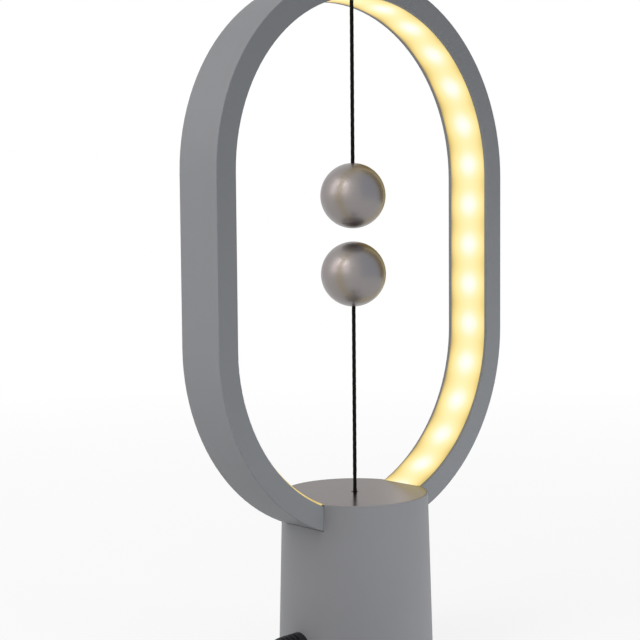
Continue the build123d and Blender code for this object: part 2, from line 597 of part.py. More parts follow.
with BuildPart() as microswitch_terminals:
    for x in (-TERMINAL_X, 0, TERMINAL_X):
        slab(0.6, 2.5, SWITCH_TOP_Z, SWITCH_TOP_Z + 3.0, (x, 13.25))
save(microswitch_terminals, "microswitch_terminals")

with BuildPart() as switch_screws:
    for x in (-SWITCH_SCREW_X, SWITCH_SCREW_X):
        with BuildSketch(Plane(origin=(x, SWITCH_Y, SWITCH_SCREW_Z), x_dir=(1, 0, 0), z_dir=(0, 1, 0))):
            Circle(M2_RADIUS)
        extrude(amount=SWITCH_BACK_Y - SWITCH_Y + 1.5)
        with BuildSketch(Plane(origin=(x, SWITCH_Y, SWITCH_SCREW_Z), x_dir=(1, 0, 0), z_dir=(0, -1, 0))):
            Circle(1.8)
        extrude(amount=1.2)
save(switch_screws, "switch_screws")

with BuildPart() as switch_slider:
    column([(0, 0)], SLIDER_Z, SLIDER_TOP_Z, SLIDER_RADIUS)
    slab(3, 9.5, SLIDER_Z, SLIDER_TOP_Z, (0, 7.75))
    column([(0, 0)], SLIDER_TOP_Z, SLIDER_STEM_TOP_Z, SLIDER_STEM_RADIUS)
    column([(0, 0)], SLIDER_TOP_Z, SLIDER_STEM_TOP_Z, STRING_RADIUS, Mode.SUBTRACT)
save(switch_slider, "switch_slider")

with BuildPart() as slider_cord:
    column([(0, 0)], SLIDER_TOP_Z, LOWER_PIVOT_Z - 1.2, STRING_RADIUS)
save(slider_cord, "slider_cord")

with BuildPart() as return_spring:
    spring_foot = (0, 0, SLIDER_TOP_Z + SPRING_WIRE_RADIUS + 0.05)
    spring_height = CAGE_CEILING_Z - SLIDER_TOP_Z - 2 * SPRING_WIRE_RADIUS - 0.1
    with BuildLine():
        turns = Helix(spring_height / SPRING_TURNS, spring_height, SPRING_RADIUS, center=spring_foot)
    with BuildSketch(Plane(origin=turns @ 0, z_dir=turns % 0)):
        Circle(SPRING_WIRE_RADIUS)
    sweep()
save(return_spring, "return_spring")

with BuildPart() as switch_lever:
    slab(12.0, LEVER_WIDTH, LEVER_Z, LEVER_TOP_Z, (-0.5, LEVER_Y))
    slab(0.4, LEVER_WIDTH, LEVER_Z, SWITCH_Z - 0.4, (-6.7, LEVER_Y))
save(switch_lever, "switch_lever")

with BuildPart() as switch_plunger:
    column([(PLUNGER_X, PLUNGER_Y)], LEVER_TOP_Z + 0.05, SWITCH_Z + 1.5, PLUNGER_RADIUS)
save(switch_plunger, "switch_plunger")

# ================================================================ driver board and wiring
with BuildPart() as driver_board:
    slab(BOARD_X, BOARD_Y, BOARD_Z, BOARD_TOP_Z)
    column(BOARD_FIXINGS, BOARD_Z, BOARD_TOP_Z, M2_5_RADIUS, Mode.SUBTRACT)
save(driver_board, "driver_board")

with BuildPart() as board_components:
    column([(-7, 6)], BOARD_Z - 6, BOARD_Z, 5.0)
    column([(8, 6), (8, -6)], BOARD_Z - 9, BOARD_Z, 3.2)
    slab(6, 5, BOARD_Z - 1.6, BOARD_Z, (-3, -7))
    slab(3, 2.5, BOARD_Z - 1.2, BOARD_Z, (-11, -8))
    slab(5, 8, BOARD_Z - 5, BOARD_Z, (-16, 0))
save(board_components, "board_components")

with BuildPart() as board_screws:
    screw(BOARD_FIXINGS, BOARD_Z, M2_5_RADIUS, 7.6, 2.2, 1.8)
save(board_screws, "board_screws")

with BuildPart() as led_leads:
    for side in (-1, 1):
        for y in (-0.9, 0.9):
            route = [(28.0, y, 77.05), (13.8, y, 73.75), (11.8, y, 69.5), (11.8, y, BOARD_TOP_Z)]
            route = [(side * x, y, z) for x, y, z in route]
            tube(route, WIRE_RADIUS, Vector(*route[1]) - Vector(*route[0]))
save(led_leads, "led_leads")

with BuildPart() as switch_leads:
    for x in (-TERMINAL_X, TERMINAL_X):
        route = [(x, 14.5, 82.5), (x, 20, 82.5), (x, 20, 56.5), (x, 10, 56.5), (x, 10, BOARD_TOP_Z)]
        tube(route, WIRE_RADIUS, (0, 1, 0))
save(switch_leads, "switch_leads")

with BuildPart() as power_leads:
    for y in (-0.9, 0.9):
        route = [
            (LEAD_INNER_END_X, y, LEAD_EXIT_Z),
            (-11, y, LEAD_EXIT_Z),
            (-10, y, 28),
            (-16, y * 1.6, 38),
            (-16, y * 1.6, BOARD_Z - 5),
        ]
        tube(route, WIRE_RADIUS, (1, 0, 0))
save(power_leads, "power_leads")

# ================================================================ power lead
boot_plane = Plane(origin=(0, 0, LEAD_EXIT_Z), x_dir=(-1, 0, 0), z_dir=(0, -1, 0))
with BuildPart() as cord_boot:
    with BuildSketch(boot_plane):
        with BuildLine():
            Polyline(
                (BASE_TOP_RADIUS, 0),
                (BASE_TOP_RADIUS, BOOT_RADIUS),
                (BOOT_RIBBED_X, BOOT_RADIUS - 0.4),
                (BOOT_END_X, BOOT_TIP_RADIUS),
                (BOOT_END_X, 0),
                close=True,
            )
        make_face()
        grooves = [BOOT_GROOVE_X + BOOT_GROOVE_PITCH * count for count in range(BOOT_GROOVES)]
        with Locations(*[(x, BOOT_RADIUS) for x in grooves]):
            Rectangle(BOOT_GROOVE_WIDTH, 2 * BOOT_GROOVE_DEPTH, mode=Mode.SUBTRACT)
    revolve(axis=Axis((0, 0, LEAD_EXIT_Z), (1, 0, 0)))
    # The boot's root follows the base's skin.
    with BuildSketch(Plane.XZ):
        with BuildLine():
            Polyline((0, 0), (base_radius(0), 0), (base_radius(40), 40), (0, 40), close=True)
        make_face()
    revolve(axis=Axis.Z, mode=Mode.SUBTRACT)
    # Neck through the wall and flange behind it.
    neck_x = -base_radius(LEAD_EXIT_Z) - 0.4
    with BuildSketch(Plane(origin=(neck_x, 0, LEAD_EXIT_Z), x_dir=(0, 1, 0), z_dir=(1, 0, 0))):
        Circle(BOOT_HOLE_RADIUS - 0.02)
    extrude(amount=BOOT_FLANGE_END_X - neck_x)
    with BuildSketch(Plane(origin=(BOOT_FLANGE_X, 0, LEAD_EXIT_Z), x_dir=(0, 1, 0), z_dir=(1, 0, 0))):
        Circle(BOOT_FLANGE_RADIUS)
    extrude(amount=BOOT_FLANGE_END_X - BOOT_FLANGE_X)
    with BuildSketch(Plane(origin=(-BOOT_END_X, 0, LEAD_EXIT_Z), x_dir=(0, 1, 0), z_dir=(1, 0, 0))):
        Circle(LEAD_RADIUS)
    extrude(amount=40, mode=Mode.SUBTRACT)
save(cord_boot, "cord_boot")

with BuildPart() as cord_lead:
    with BuildSketch(Plane(origin=(-BOOT_END_X, 0, LEAD_EXIT_Z), x_dir=(0, 1, 0), z_dir=(1, 0, 0))):
        Circle(LEAD_RADIUS)
    extrude(amount=BOOT_END_X + LEAD_INNER_END_X)
save(cord_lead, "cord_lead")

with BuildPart() as cord_clamp:
    slab(CLAMP_LENGTH, 2 * CLAMP_HALF_WIDTH, LEAD_EXIT_Z, LEAD_EXIT_Z + 4, (CLAMP_X, 0))
    with BuildSketch(clamp_plane):
        Circle(LEAD_RADIUS)
    extrude(amount=10, mode=Mode.SUBTRACT)
    column(clamp_fixings, LEAD_EXIT_Z, LEAD_EXIT_Z + 4, M2_RADIUS, Mode.SUBTRACT)
save(cord_clamp, "cord_clamp")

with BuildPart() as clamp_screws:
    screw(clamp_fixings, LEAD_EXIT_Z + 4, M2_RADIUS, -11.5, 1.9, 1.4)
save(clamp_screws, "clamp_screws")

# Route of the free lead, from the boot down to the floor and round to the coil.
LEAD_ROUTE = [
    (-BOOT_END_X, 0.0, LEAD_EXIT_Z),
    (-76.0, 0.0, LEAD_EXIT_Z),
    (-90.5, -3.5, 6.8),
    (-97.5, -18.0, FLOOR_Z),
    (COIL_CENTRE[0] - COIL_RADIUS, -38.0, FLOOR_Z),
    (COIL_CENTRE[0] - COIL_RADIUS, COIL_CENTRE[1] + LEAD_DIAMETER, FLOOR_Z),
]
with BuildPart() as power_cord:
    free_length = tube(LEAD_ROUTE, LEAD_RADIUS, (-1, 0, 0))
print("lead radii", [round(r, 1) for r in corner_radii(LEAD_ROUTE)], "length", round(free_length, 1))
LEAD_SECTION = pi * LEAD_RADIUS**2
print("lead volume", round(power_cord.part.volume), "section x length", round(free_length * LEAD_SECTION))
save(power_cord, "power_cord")


def coil_crossings():
    """Where the coil crosses its own X axis, half a turn apart: (x from its centre, height).

    A layer spirals in, the next one out. Each climb is one half turn that goes on the same way,
    and the half turn after it steps back past it, so that the two lie clear of each other.
    """
    step = COIL_PITCH / 2
    radius, side = COIL_RADIUS, -1
    crossings = [(side * radius, FLOOR_Z)]
    for layer in range(COIL_LAYERS):
        level = FLOOR_Z + layer * COIL_PITCH
        way = 1 if layer % 2 else -1
        last = layer == COIL_LAYERS - 1
        for half_turn in range(COIL_HALF_TURNS + last):
            radius += way * step * (2 if layer and not half_turn else 1)
            side = -side
            crossings.append((side * radius, level))
        if not last:
            radius += way * step
            side = -side
            crossings.append((side * radius, level + COIL_PITCH))
    return crossings


def least_gap(wire, diameter):
    """Least clear distance of a coiled tube to itself, from points 1.5 mm apart along it."""
    count = int(wire.length / 1.5)
    spots = [tuple(spot) for spot in wire.positions([i / count for i in range(count + 1)])]
    apart = int(4 * diameter / 1.5)
    pairs = ((a, b) for a in range(len(spots)) for b in range(a + apart, len(spots)))
    return min(dist(spots[a], spots[b]) for a, b in pairs) - diameter


with BuildPart() as power_cord_coil:
    crossings = coil_crossings()
    centre_x, centre_y = COIL_CENTRE
    with BuildLine() as coil_route:
        start = (centre_x + crossings[0][0], centre_y, crossings[0][1])
        Line((start[0], centre_y + LEAD_DIAMETER, start[2]), start)
        for (x0, z0), (x1, z1) in zip(crossings, crossings[1:]):
            reach = dist((x0, z0), (x1, z1)) / 2
            belly = centre_y - reach if x0 < 0 else centre_y + reach
            middle = (centre_x + (x0 + x1) / 2, belly, (z0 + z1) / 2)
            ThreePointArc((centre_x + x0, centre_y, z0), middle, (centre_x + x1, centre_y, z1))
        coil_end = (centre_x + crossings[-1][0], centre_y - LEAD_DIAMETER, crossings[-1][1])
        Line((coil_end[0], centre_y, coil_end[2]), coil_end)
    with BuildSketch(Plane(origin=(start[0], centre_y + LEAD_DIAMETER, start[2]), z_dir=(0, -1, 0))):
        Circle(LEAD_RADIUS)
    coil_wire = coil_route.wires()[0]
    sweep(path=coil_wire)
print("coil length", round(coil_wire.length, 1), "least gap", round(least_gap(coil_wire, LEAD_DIAMETER), 2))
coil_volume = coil_wire.length * LEAD_SECTION
print("coil volume", round(power_cord_coil.part.volume), "section x length", round(coil_volume))
save(power_cord_coil, "power_cord_coil")

# Short free end, from the top of the coil down to the plug on the floor.
END_ROUTE = [
    coil_end,
    (coil_end[0], -84.0, coil_end[2]),
    (-95.5, -100.0, 9.5),
    (-84.0, -114.0, 4.5),
    (-64.0, -117.0, PLUG_Z),
    (-50.0, -117.0, PLUG_Z),
]
with BuildPart() as power_cord_end:
    end_length = tube(END_ROUTE, LEAD_RADIUS, (0, -1, 0))
print("end radii", [round(r, 1) for r in corner_radii(END_ROUTE)], "length", round(end_length, 1))
print("end volume", round(power_cord_end.part.volume), "section x length", round(end_length * LEAD_SECTION))
save(power_cord_end, "power_cord_end")
print("whole lead", round(free_length + coil_wire.length + end_length + BOOT_END_X + LEAD_INNER_END_X))

plug_way = (Vector(*END_ROUTE[-1]) - Vector(*END_ROUTE[-2])).normalized()
plug_plane = Plane(origin=END_ROUTE[-1], x_dir=(plug_way.Y, -plug_way.X, 0), z_dir=plug_way)

with BuildPart() as usb_plug_body:
    with BuildSketch(plug_plane.offset(PLUG_NECK)):
        RectangleRounded(PLUG_WIDTH, PLUG_HEIGHT, 2.0)
    extrude(amount=PLUG_LENGTH)
    fillet(usb_plug_body.faces().sort_by(Axis(END_ROUTE[-1], plug_way))[0].edges(), 1.0)
    with BuildSketch(plug_plane):
        Circle(2.7)
    with BuildSketch(plug_plane.offset(PLUG_NECK + 0.5)):
        Circle(3.5)
    loft()
save(usb_plug_body, "usb_plug_body")

shell_plane = plug_plane.offset(PLUG_NECK + PLUG_LENGTH)
with BuildPart() as usb_plug_shell:
    with BuildSketch(shell_plane):
        Rectangle(SHELL_WIDTH, SHELL_HEIGHT)
        Rectangle(SHELL_WIDTH - 0.6, SHELL_HEIGHT - 0.6, mode=Mode.SUBTRACT)
    extrude(amount=SHELL_LENGTH)
    # Two latch holes go through the shell's broad faces.
    with BuildSketch(Plane(origin=shell_plane.origin, x_dir=shell_plane.x_dir, z_dir=shell_plane.y_dir)):
        with Locations((-2.6, -10.5), (2.6, -10.5)):
            Rectangle(2.2, 2.5)
    extrude(amount=SHELL_HEIGHT, both=True, mode=Mode.SUBTRACT)
save(usb_plug_shell, "usb_plug_shell")

with BuildPart() as usb_plug_tongue:
    with BuildSketch(shell_plane):
        with Locations((0, -(SHELL_HEIGHT / 2 - 0.3 - 0.92))):
            Rectangle(SHELL_WIDTH - 0.7, 1.84)
    extrude(amount=SHELL_LENGTH - 1.0)
save(usb_plug_tongue, "usb_plug_tongue")
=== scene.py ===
"""Magnetic balance lamp, dressed and lit for the studio.

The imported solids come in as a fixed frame: metres, +Z up, the origin under the middle of the base,
the ring in the XZ plane with its front towards -Y. CAD nodes keep their meshes and get procedural
finishes. The balls' skins, the braided cords, the power lead and its plug are modelled here.
"""

from __future__ import annotations

import json
import logging
import math
from dataclasses import dataclass, field
from enum import Enum
from typing import Any, Callable, Iterable, Sequence

import bmesh
import bpy
from mathutils import Matrix, Vector


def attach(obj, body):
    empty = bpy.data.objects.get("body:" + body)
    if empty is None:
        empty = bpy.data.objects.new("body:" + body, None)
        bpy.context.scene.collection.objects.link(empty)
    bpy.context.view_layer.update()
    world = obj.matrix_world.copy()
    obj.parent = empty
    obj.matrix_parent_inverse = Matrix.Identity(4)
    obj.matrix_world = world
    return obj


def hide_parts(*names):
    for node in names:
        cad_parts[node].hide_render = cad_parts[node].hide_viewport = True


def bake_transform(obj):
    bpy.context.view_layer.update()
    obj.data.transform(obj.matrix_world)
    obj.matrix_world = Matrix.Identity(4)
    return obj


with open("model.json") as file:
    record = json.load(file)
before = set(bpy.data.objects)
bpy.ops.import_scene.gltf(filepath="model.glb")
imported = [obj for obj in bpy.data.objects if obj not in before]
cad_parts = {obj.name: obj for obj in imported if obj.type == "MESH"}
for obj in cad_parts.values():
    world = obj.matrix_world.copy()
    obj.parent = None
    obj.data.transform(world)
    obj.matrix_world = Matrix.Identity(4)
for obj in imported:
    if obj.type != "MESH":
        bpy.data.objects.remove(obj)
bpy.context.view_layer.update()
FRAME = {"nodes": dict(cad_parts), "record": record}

log = logging.getLogger("balance_lamp")

MM = 0.001
SMOOTH_BELOW = math.radians(40.0)  # edges that turn less than this are shaded smooth
MERGE_WITHIN = 1e-6  # vertices nearer than this, in metres, are one
MOTTLE_SCALE = 0.022  # the slow mottle's scale as a share of the grain's
SMEAR_SCALE = 60.0  # noise scale of the smears on turned metal
FUZZ_SCALE = 5200.0  # noise scale of the fibres on a braid
ROLLED_STRETCH = 0.12  # how much slower rolled streaks change along Z
CURVE_STEPS = 12  # lengths a curve is cut into from one control point to the next
BEVEL_STEPS = 4  # how finely a curve's round section is cut
RGBA = tuple[float, float, float, float]
Point = tuple[float, float, float]  # a place, a size or a colour
Sockets = tuple[bpy.types.NodeSocket, ...]
Given = dict[str, bpy.types.NodeSocket]
Inputs = dict[str | int, Any]  # sockets or plain values by the name or number of an input


def srgb(tone: Point) -> RGBA:
    """Turn a screen colour into the linear one that shaders take.

    Args:
        tone: Red, green and blue, 0 to 255.

    Returns:
        The linear colour with an alpha of 1.
    """
    parts = [value / 255 for value in tone]
    linear = [p / 12.92 if p <= 0.04045 else ((p + 0.055) / 1.055) ** 2.4 for p in parts]
    return (linear[0], linear[1], linear[2], 1.0)


def scaled(colour: RGBA, share: float) -> RGBA:
    """Return the colour made lighter or darker by a factor."""
    return (colour[0] * share, colour[1] * share, colour[2] * share, 1.0)


# --- shader building
class NodeKit:
    """Adds nodes to one shader tree and joins them."""

    def __init__(self, tree: bpy.types.NodeTree) -> None:
        """Keep the tree and clear what it starts with."""
        self.tree = tree
        tree.nodes.clear()

    def add(self, kind: str, inputs: Inputs | None = None, **settings: Any) -> bpy.types.Node:
        """Add a node.

        Args:
            kind: Blender's name of the node type.
            inputs: What its inputs are fed, by name or number.
            **settings: Properties to set on the node, before its inputs are fed.

        Returns:
            The new node.
        """
        node = self.tree.nodes.new(kind)
        for key, value in settings.items():
            setattr(node, key, value)
        for key, value in (inputs or {}).items():
            self.feed(node.inputs[key], value)
        return node

    def feed(self, socket: bpy.types.NodeSocket, value: Any) -> None:
        """Link another socket into this one, or set it to a plain value.

        Args:
            socket: The input to feed.
            value: A socket, or a plain value.
        """
        if isinstance(value, bpy.types.NodeSocket):
            self.tree.links.new(value, socket)
        else:
            socket.default_value = value

    def math(self, operation: str, *values: Any) -> bpy.types.NodeSocket:
        """Add a math node.

        Args:
            operation: The node's operation, such as MULTIPLY.
            *values: Sockets or numbers for its inputs, in order.

        Returns:
            The node's output.
        """
        return self.add("ShaderNodeMath", dict(enumerate(values)), operation=operation).outputs[0]

    def mixed(self, first: Any, second: Any, share: float) -> bpy.types.NodeSocket:
        """Return a share of the first value with the rest from the second."""
        return self.math("MULTIPLY_ADD", first, share, self.math("MULTIPLY", second, 1.0 - share))

    def spread(self, value: Any, low: float, high: float) -> bpy.types.NodeSocket:
        """Stretch a 0 to 1 value.

        Args:
            value: The value.
            low: What 0 becomes.
            high: What 1 becomes.

        Returns:
            The stretched value.
        """
        node = self.add("ShaderNodeMapRange", {"Value": value, "To Min": low, "To Max": high})
        return node.outputs["Result"]

    def ramp(self, value: Any, stops: Sequence[tuple[float, RGBA]]) -> bpy.types.NodeSocket:
        """Add a colour ramp.

        Args:
            value: What runs along the ramp.
            stops: Positions and their colours, in order.

        Returns:
            The ramp's colour.
        """
        node = self.add("ShaderNodeValToRGB", {"Fac": value})
        elements = node.color_ramp.elements
        while len(elements) < len(stops):
            elements.new(0.5)
        for element, (position, colour) in zip(elements, stops):
            element.position = position
            element.color = colour
        return node.outputs["Color"]

    def noise(self, vector: Any, scale: Any, detail: float = 2.0) -> bpy.types.NodeSocket:
        """Add a noise texture.

        Args:
            vector: Where it is read.
            scale: Its scale.
            detail: Its octaves.

        Returns:
            The noise value.
        """
        node = self.add("ShaderNodeTexNoise", {"Vector": vector, "Scale": scale, "Detail": detail})
        return node.outputs["Fac"]

    def place(self, kind: str = "Object") -> bpy.types.NodeSocket:
        """Return the texture coordinate of this kind."""
        return self.add("ShaderNodeTexCoord").outputs[kind]

    def axes(self, kind: str = "Object") -> Sockets:
        """Return X, Y and Z of the texture coordinate of this kind."""
        return tuple(self.add("ShaderNodeSeparateXYZ", {0: self.place(kind)}).outputs)

    def vector(self, *axes: Any) -> bpy.types.NodeSocket:
        """Join X, Y and Z into a vector."""
        return self.add("ShaderNodeCombineXYZ", dict(enumerate(axes))).outputs[0]

    def surface(self, shader: bpy.types.Node) -> None:
        """Join a shader to a new material output."""
        self.add("ShaderNodeOutputMaterial", {"Surface": shader.outputs[0]})


def empty_material(name: str) -> tuple[bpy.types.Material, NodeKit]:
    made = bpy.data.materials.new(name)
    made.use_nodes = True
    return made, NodeKit(made.node_tree)


def shader_group(
    name: str,
    inputs: dict[str, float],
    outputs: Sequence[str],
    wire: Callable[[NodeKit, Given], Sockets],
) -> bpy.types.NodeTree:
    """Build a shared node group once.

    Args:
        name: The group's name.
        inputs: Its number inputs and their defaults.
        outputs: Its number outputs.

    Returns:
        The group, new or built before.
    """
    found = bpy.data.node_groups.get(name)
    if found:
        return found
    tree = bpy.data.node_groups.new(name, "ShaderNodeTree")
    for label, value in inputs.items():
        tree.interface.new_socket(label, in_out="INPUT", socket_type="NodeSocketFloat").default_value = value
    for label in outputs:
        tree.interface.new_socket(label, in_out="OUTPUT", socket_type="NodeSocketFloat")
    kit = NodeKit(tree)
    given = {socket.name: socket for socket in kit.add("NodeGroupInput").outputs}
    kit.add("NodeGroupOutput", dict(enumerate(wire(kit, given))))
    return tree


def wire_grain(kit: NodeKit, given: Given) -> Sockets:
    """Wire an even fine relief and a slow mottle, as a height and a mask."""
    place = kit.place()
    fine = kit.noise(place, given["Scale"], 3.0)
    slow = kit.noise(place, kit.math("MULTIPLY", given["Scale"], MOTTLE_SCALE))
    return fine, kit.mixed(fine, slow, 0.45)


def wire_turned(kit: NodeKit, given: Given) -> Sockets:
    """Wire fine marks that run round the Z axis, as a lathe leaves them, as a height and a mask."""
    x, y, z = kit.axes()
    reach = kit.math("SQRT", kit.math("ADD", kit.math("MULTIPLY", x, x), kit.math("MULTIPLY", y, y)))
    flat = kit.math("MULTIPLY", reach, given["Flat"])
    steep = kit.math("MULTIPLY", z, kit.math("SUBTRACT", 1.0, given["Flat"]))
    across = kit.math("MULTIPLY", kit.math("ADD", flat, steep), given["Scale"])
    safe = kit.math("MAXIMUM", reach, 1e-5)
    around = [kit.math("MULTIPLY", kit.math("DIVIDE", axis, safe), given["Breaks"]) for axis in (x, y)]
    marks = kit.noise(kit.vector(across, *around), 1.0)
    return marks, kit.mixed(marks, kit.noise(kit.place(), SMEAR_SCALE), 0.6)


def wire_braid(kit: NodeKit, given: Given) -> Sockets:
    """Wire two families of strands that cross, from a UV of turn and length, as a height and a mask; the mask
    darkens the grooves between strands as painted shade, with random fibre tone.
    """
    around, along, _ = kit.axes("UV")
    turn = kit.math("MULTIPLY", around, given["Strands"])
    climb = kit.math("DIVIDE", along, given["Pitch"])
    rising, falling = (
        kit.math("SINE", kit.math("MULTIPLY", kit.math(way, turn, climb), math.pi))
        for way in ("ADD", "SUBTRACT")
    )
    bulge = kit.math("POWER", kit.math("ABSOLUTE", kit.math("MULTIPLY", rising, falling)), 0.5)
    fuzz = kit.noise(kit.place(), FUZZ_SCALE)
    # the colour mask is mostly the strands' bulge, so the grooves between strands come out darker as painted
    # shade; the fuzz adds random fibre tone
    return kit.math("MULTIPLY_ADD", fuzz, 0.25, bulge), kit.mixed(bulge, fuzz, 0.7)


def wire_rolled(kit: NodeKit, given: Given) -> Sockets:
    """Wire the long faint streaks of drawn wire and rolled sheet, as a height and a mask."""
    x, y, z = kit.axes()
    streaks = kit.noise(kit.vector(x, y, kit.math("MULTIPLY", z, ROLLED_STRETCH)), given["Scale"])
    return streaks, streaks


class Texture(Enum):
    """Surface textures that finishes choose from."""

    GRAIN = "Fine Grain"
    TURNED = "Turned Marks"
    BRAID = "Braided Strands"
    ROLLED = "Rolled Streaks"

    def group(self) -> bpy.types.NodeTree:
        """Return this texture's shader group."""
        inputs, wire = {
            Texture.GRAIN: ({"Scale": 1500.0}, wire_grain),
            Texture.TURNED: ({"Scale": 3000.0, "Flat": 1.0, "Breaks": 1.5}, wire_turned),
            Texture.BRAID: ({"Strands": 8.0, "Pitch": 0.0012}, wire_braid),
            Texture.ROLLED: ({"Scale": 900.0}, wire_rolled),
        }[self]
        return shader_group(self.value, inputs, ("Height", "Mask"), wire)


@dataclass(frozen=True)
class Finish:
    """A surface finish: its tone, how it varies, its gloss and its relief.

    Attributes:
        name: The material's name.
        tone: The middle colour, sRGB 0 to 255.
        spread: How far the mottle takes the colour from its middle, as a share.
        roughness: The lowest and highest roughness over the surface.
        relief: Height of the texture's bumps in metres.
        metallic: 1 for bare metal.
        specular: Specular level of the shader.
        edge: How much of its edge gloss a metal keeps at grazing angles.
        coat: Weight of a clear coat.
        sheen: Weight of the sheen on fabric.
        texture: The texture group.
        settings: Values for the group's inputs.
    """

    name: str
    tone: Point
    spread: float = 0.06
    roughness: tuple[float, float] = (0.45, 0.55)
    relief: float = 2e-5
    metallic: float = 0.0
    specular: float = 0.5
    edge: float = 1.0
    coat: float = 0.0
    sheen: float = 0.0
    texture: Texture = Texture.GRAIN
    settings: dict[str, float] = field(default_factory=dict)

    def shader(self, kit: NodeKit) -> bpy.types.Node:
        """Wire the finish into a material and return its Principled shader."""
        pattern = kit.add("ShaderNodeGroup", self.settings, node_tree=self.texture.group())
        height, mask = pattern.outputs
        tone = srgb(self.tone)
        stops = [(0.25, scaled(tone, 1 - self.spread)), (0.75, scaled(tone, 1 + self.spread))]
        bump = kit.add("ShaderNodeBump", {"Distance": self.relief, "Height": height})
        shader = kit.add("ShaderNodeBsdfPrincipled", {
            "Base Color": kit.ramp(mask, stops),
            "Roughness": kit.spread(mask, *self.roughness),
            "Normal": bump.outputs[0],
            "Metallic": self.metallic,
            "Specular IOR Level": self.specular,
            "Specular Tint": (self.edge, self.edge, self.edge, 1.0),
            "Coat Weight": self.coat,
            "Sheen Weight": self.sheen,
        })
        kit.surface(shader)
        return shader

    def material(self) -> bpy.types.Material:
        """Return the finish as a material, built once."""
        found = bpy.data.materials.get(self.name)
        if found:
            return found
        made, kit = empty_material(self.name)
        self.shader(kit)
        return made


GLOW_STOPS = (  # light level on the diffuser, and the colour it shows there
    (0.0, (140, 118, 76)),
    (0.1, (198, 170, 100)),
    (0.22, (226, 200, 116)),
    (0.4, (243, 217, 136)),
    (0.58, (252, 231, 156)),
    (0.74, (254, 238, 175)),
    (0.9, (254, 247, 217)),
    (1.0, (254, 252, 243)),
)


@dataclass(frozen=True)
class LitDiffuser:
    """The opal strip inside the ring, lit from behind by a row of LEDs.

    The run along the strip is worked out from the object coordinate, from the top of the ring down
    either side, so that each hot spot lies over its LED.

    Attributes:
        plastic: The finish of the unlit plastic.
        face_radius: Radius of the lit face in the half circles.
        half_straight: Half the length of the straight part.
        centre_z: Height of the ring's centre.
        pitch: Distance from LED to LED along the face.
        count: LEDs on each side.
        middle_y: Where the light is brightest across the face.
        half_width: From there to where it has died away.
        even_share: Share of the light that is even along the strip.
    """

    plastic: Finish = Finish(
        "Opal diffuser, lit", (46, 43, 36), 0.06, (0.5, 0.6), 1e-5, settings={"Scale": 2200.0}
    )
    face_radius: float = 88.3 * MM
    half_straight: float = 41.25 * MM
    centre_z: float = 209.5 * MM
    pitch: float = 21.9 * MM
    count: int = 15
    middle_y: float = -1.0 * MM
    half_width: float = 13.0 * MM
    even_share: float = 0.72

    def run(self, kit: NodeKit) -> Sockets:
        """Wire the run from the top of the ring, in LED pitches, and return it with Y."""
        x, y, z = kit.axes()
        height = kit.math("SUBTRACT", z, self.centre_z)
        straight = kit.math("MAXIMUM", kit.math("MINIMUM", height, self.half_straight), -self.half_straight)
        beyond = kit.math("SUBTRACT", height, straight)
        turn = kit.math("ARCTAN2", kit.math("ABSOLUTE", x), beyond)
        arc = kit.math("MULTIPLY", turn, self.face_radius)
        whole = kit.math("ADD", arc, kit.math("SUBTRACT", self.half_straight, straight))
        return kit.math("DIVIDE", whole, self.pitch), y

    def wire_glow(self, kit: NodeKit, _: Given) -> Sockets:
        """Wire the light level: a band that dims to its edges, brighter over each LED."""
        run, y = self.run(kit)
        nearest = kit.math("MINIMUM", kit.math("MAXIMUM", kit.math("ROUND", run), 1.0), float(self.count))
        away = kit.math("MINIMUM", kit.math("ABSOLUTE", kit.math("SUBTRACT", run, nearest)), 0.5)
        beat = kit.math("MULTIPLY_ADD", kit.math("COSINE", kit.math("MULTIPLY", away, math.tau)), 0.5, 0.5)
        across = kit.math("DIVIDE", kit.math("SUBTRACT", y, self.middle_y), self.half_width)
        band = kit.math("MAXIMUM", kit.math("SUBTRACT", 1.0, kit.math("MULTIPLY", across, across)), 0.0)
        spot = kit.math("MULTIPLY", beat, kit.math("SQRT", band))
        return (kit.mixed(band, spot, self.even_share),)

    def material(self) -> bpy.types.Material:
        """Return the lit diffuser as a material."""
        made, kit = empty_material(self.plastic.name)
        group = shader_group("LED Glow", {}, ("Level",), self.wire_glow)
        level = kit.add("ShaderNodeGroup", node_tree=group).outputs["Level"]
        shader = self.plastic.shader(kit)
        stops = [(share, srgb(tone)) for share, tone in GLOW_STOPS]
        kit.feed(shader.inputs["Emission Color"], kit.ramp(level, stops))
        shader.inputs["Emission Strength"].default_value = 1.0
        return made


POWDER = {
    "spread": 0.02,
    "roughness": (0.5, 0.6),
    "relief": 1.2e-5,
    "specular": 0.35,
    "settings": {"Scale": 2600.0},
}

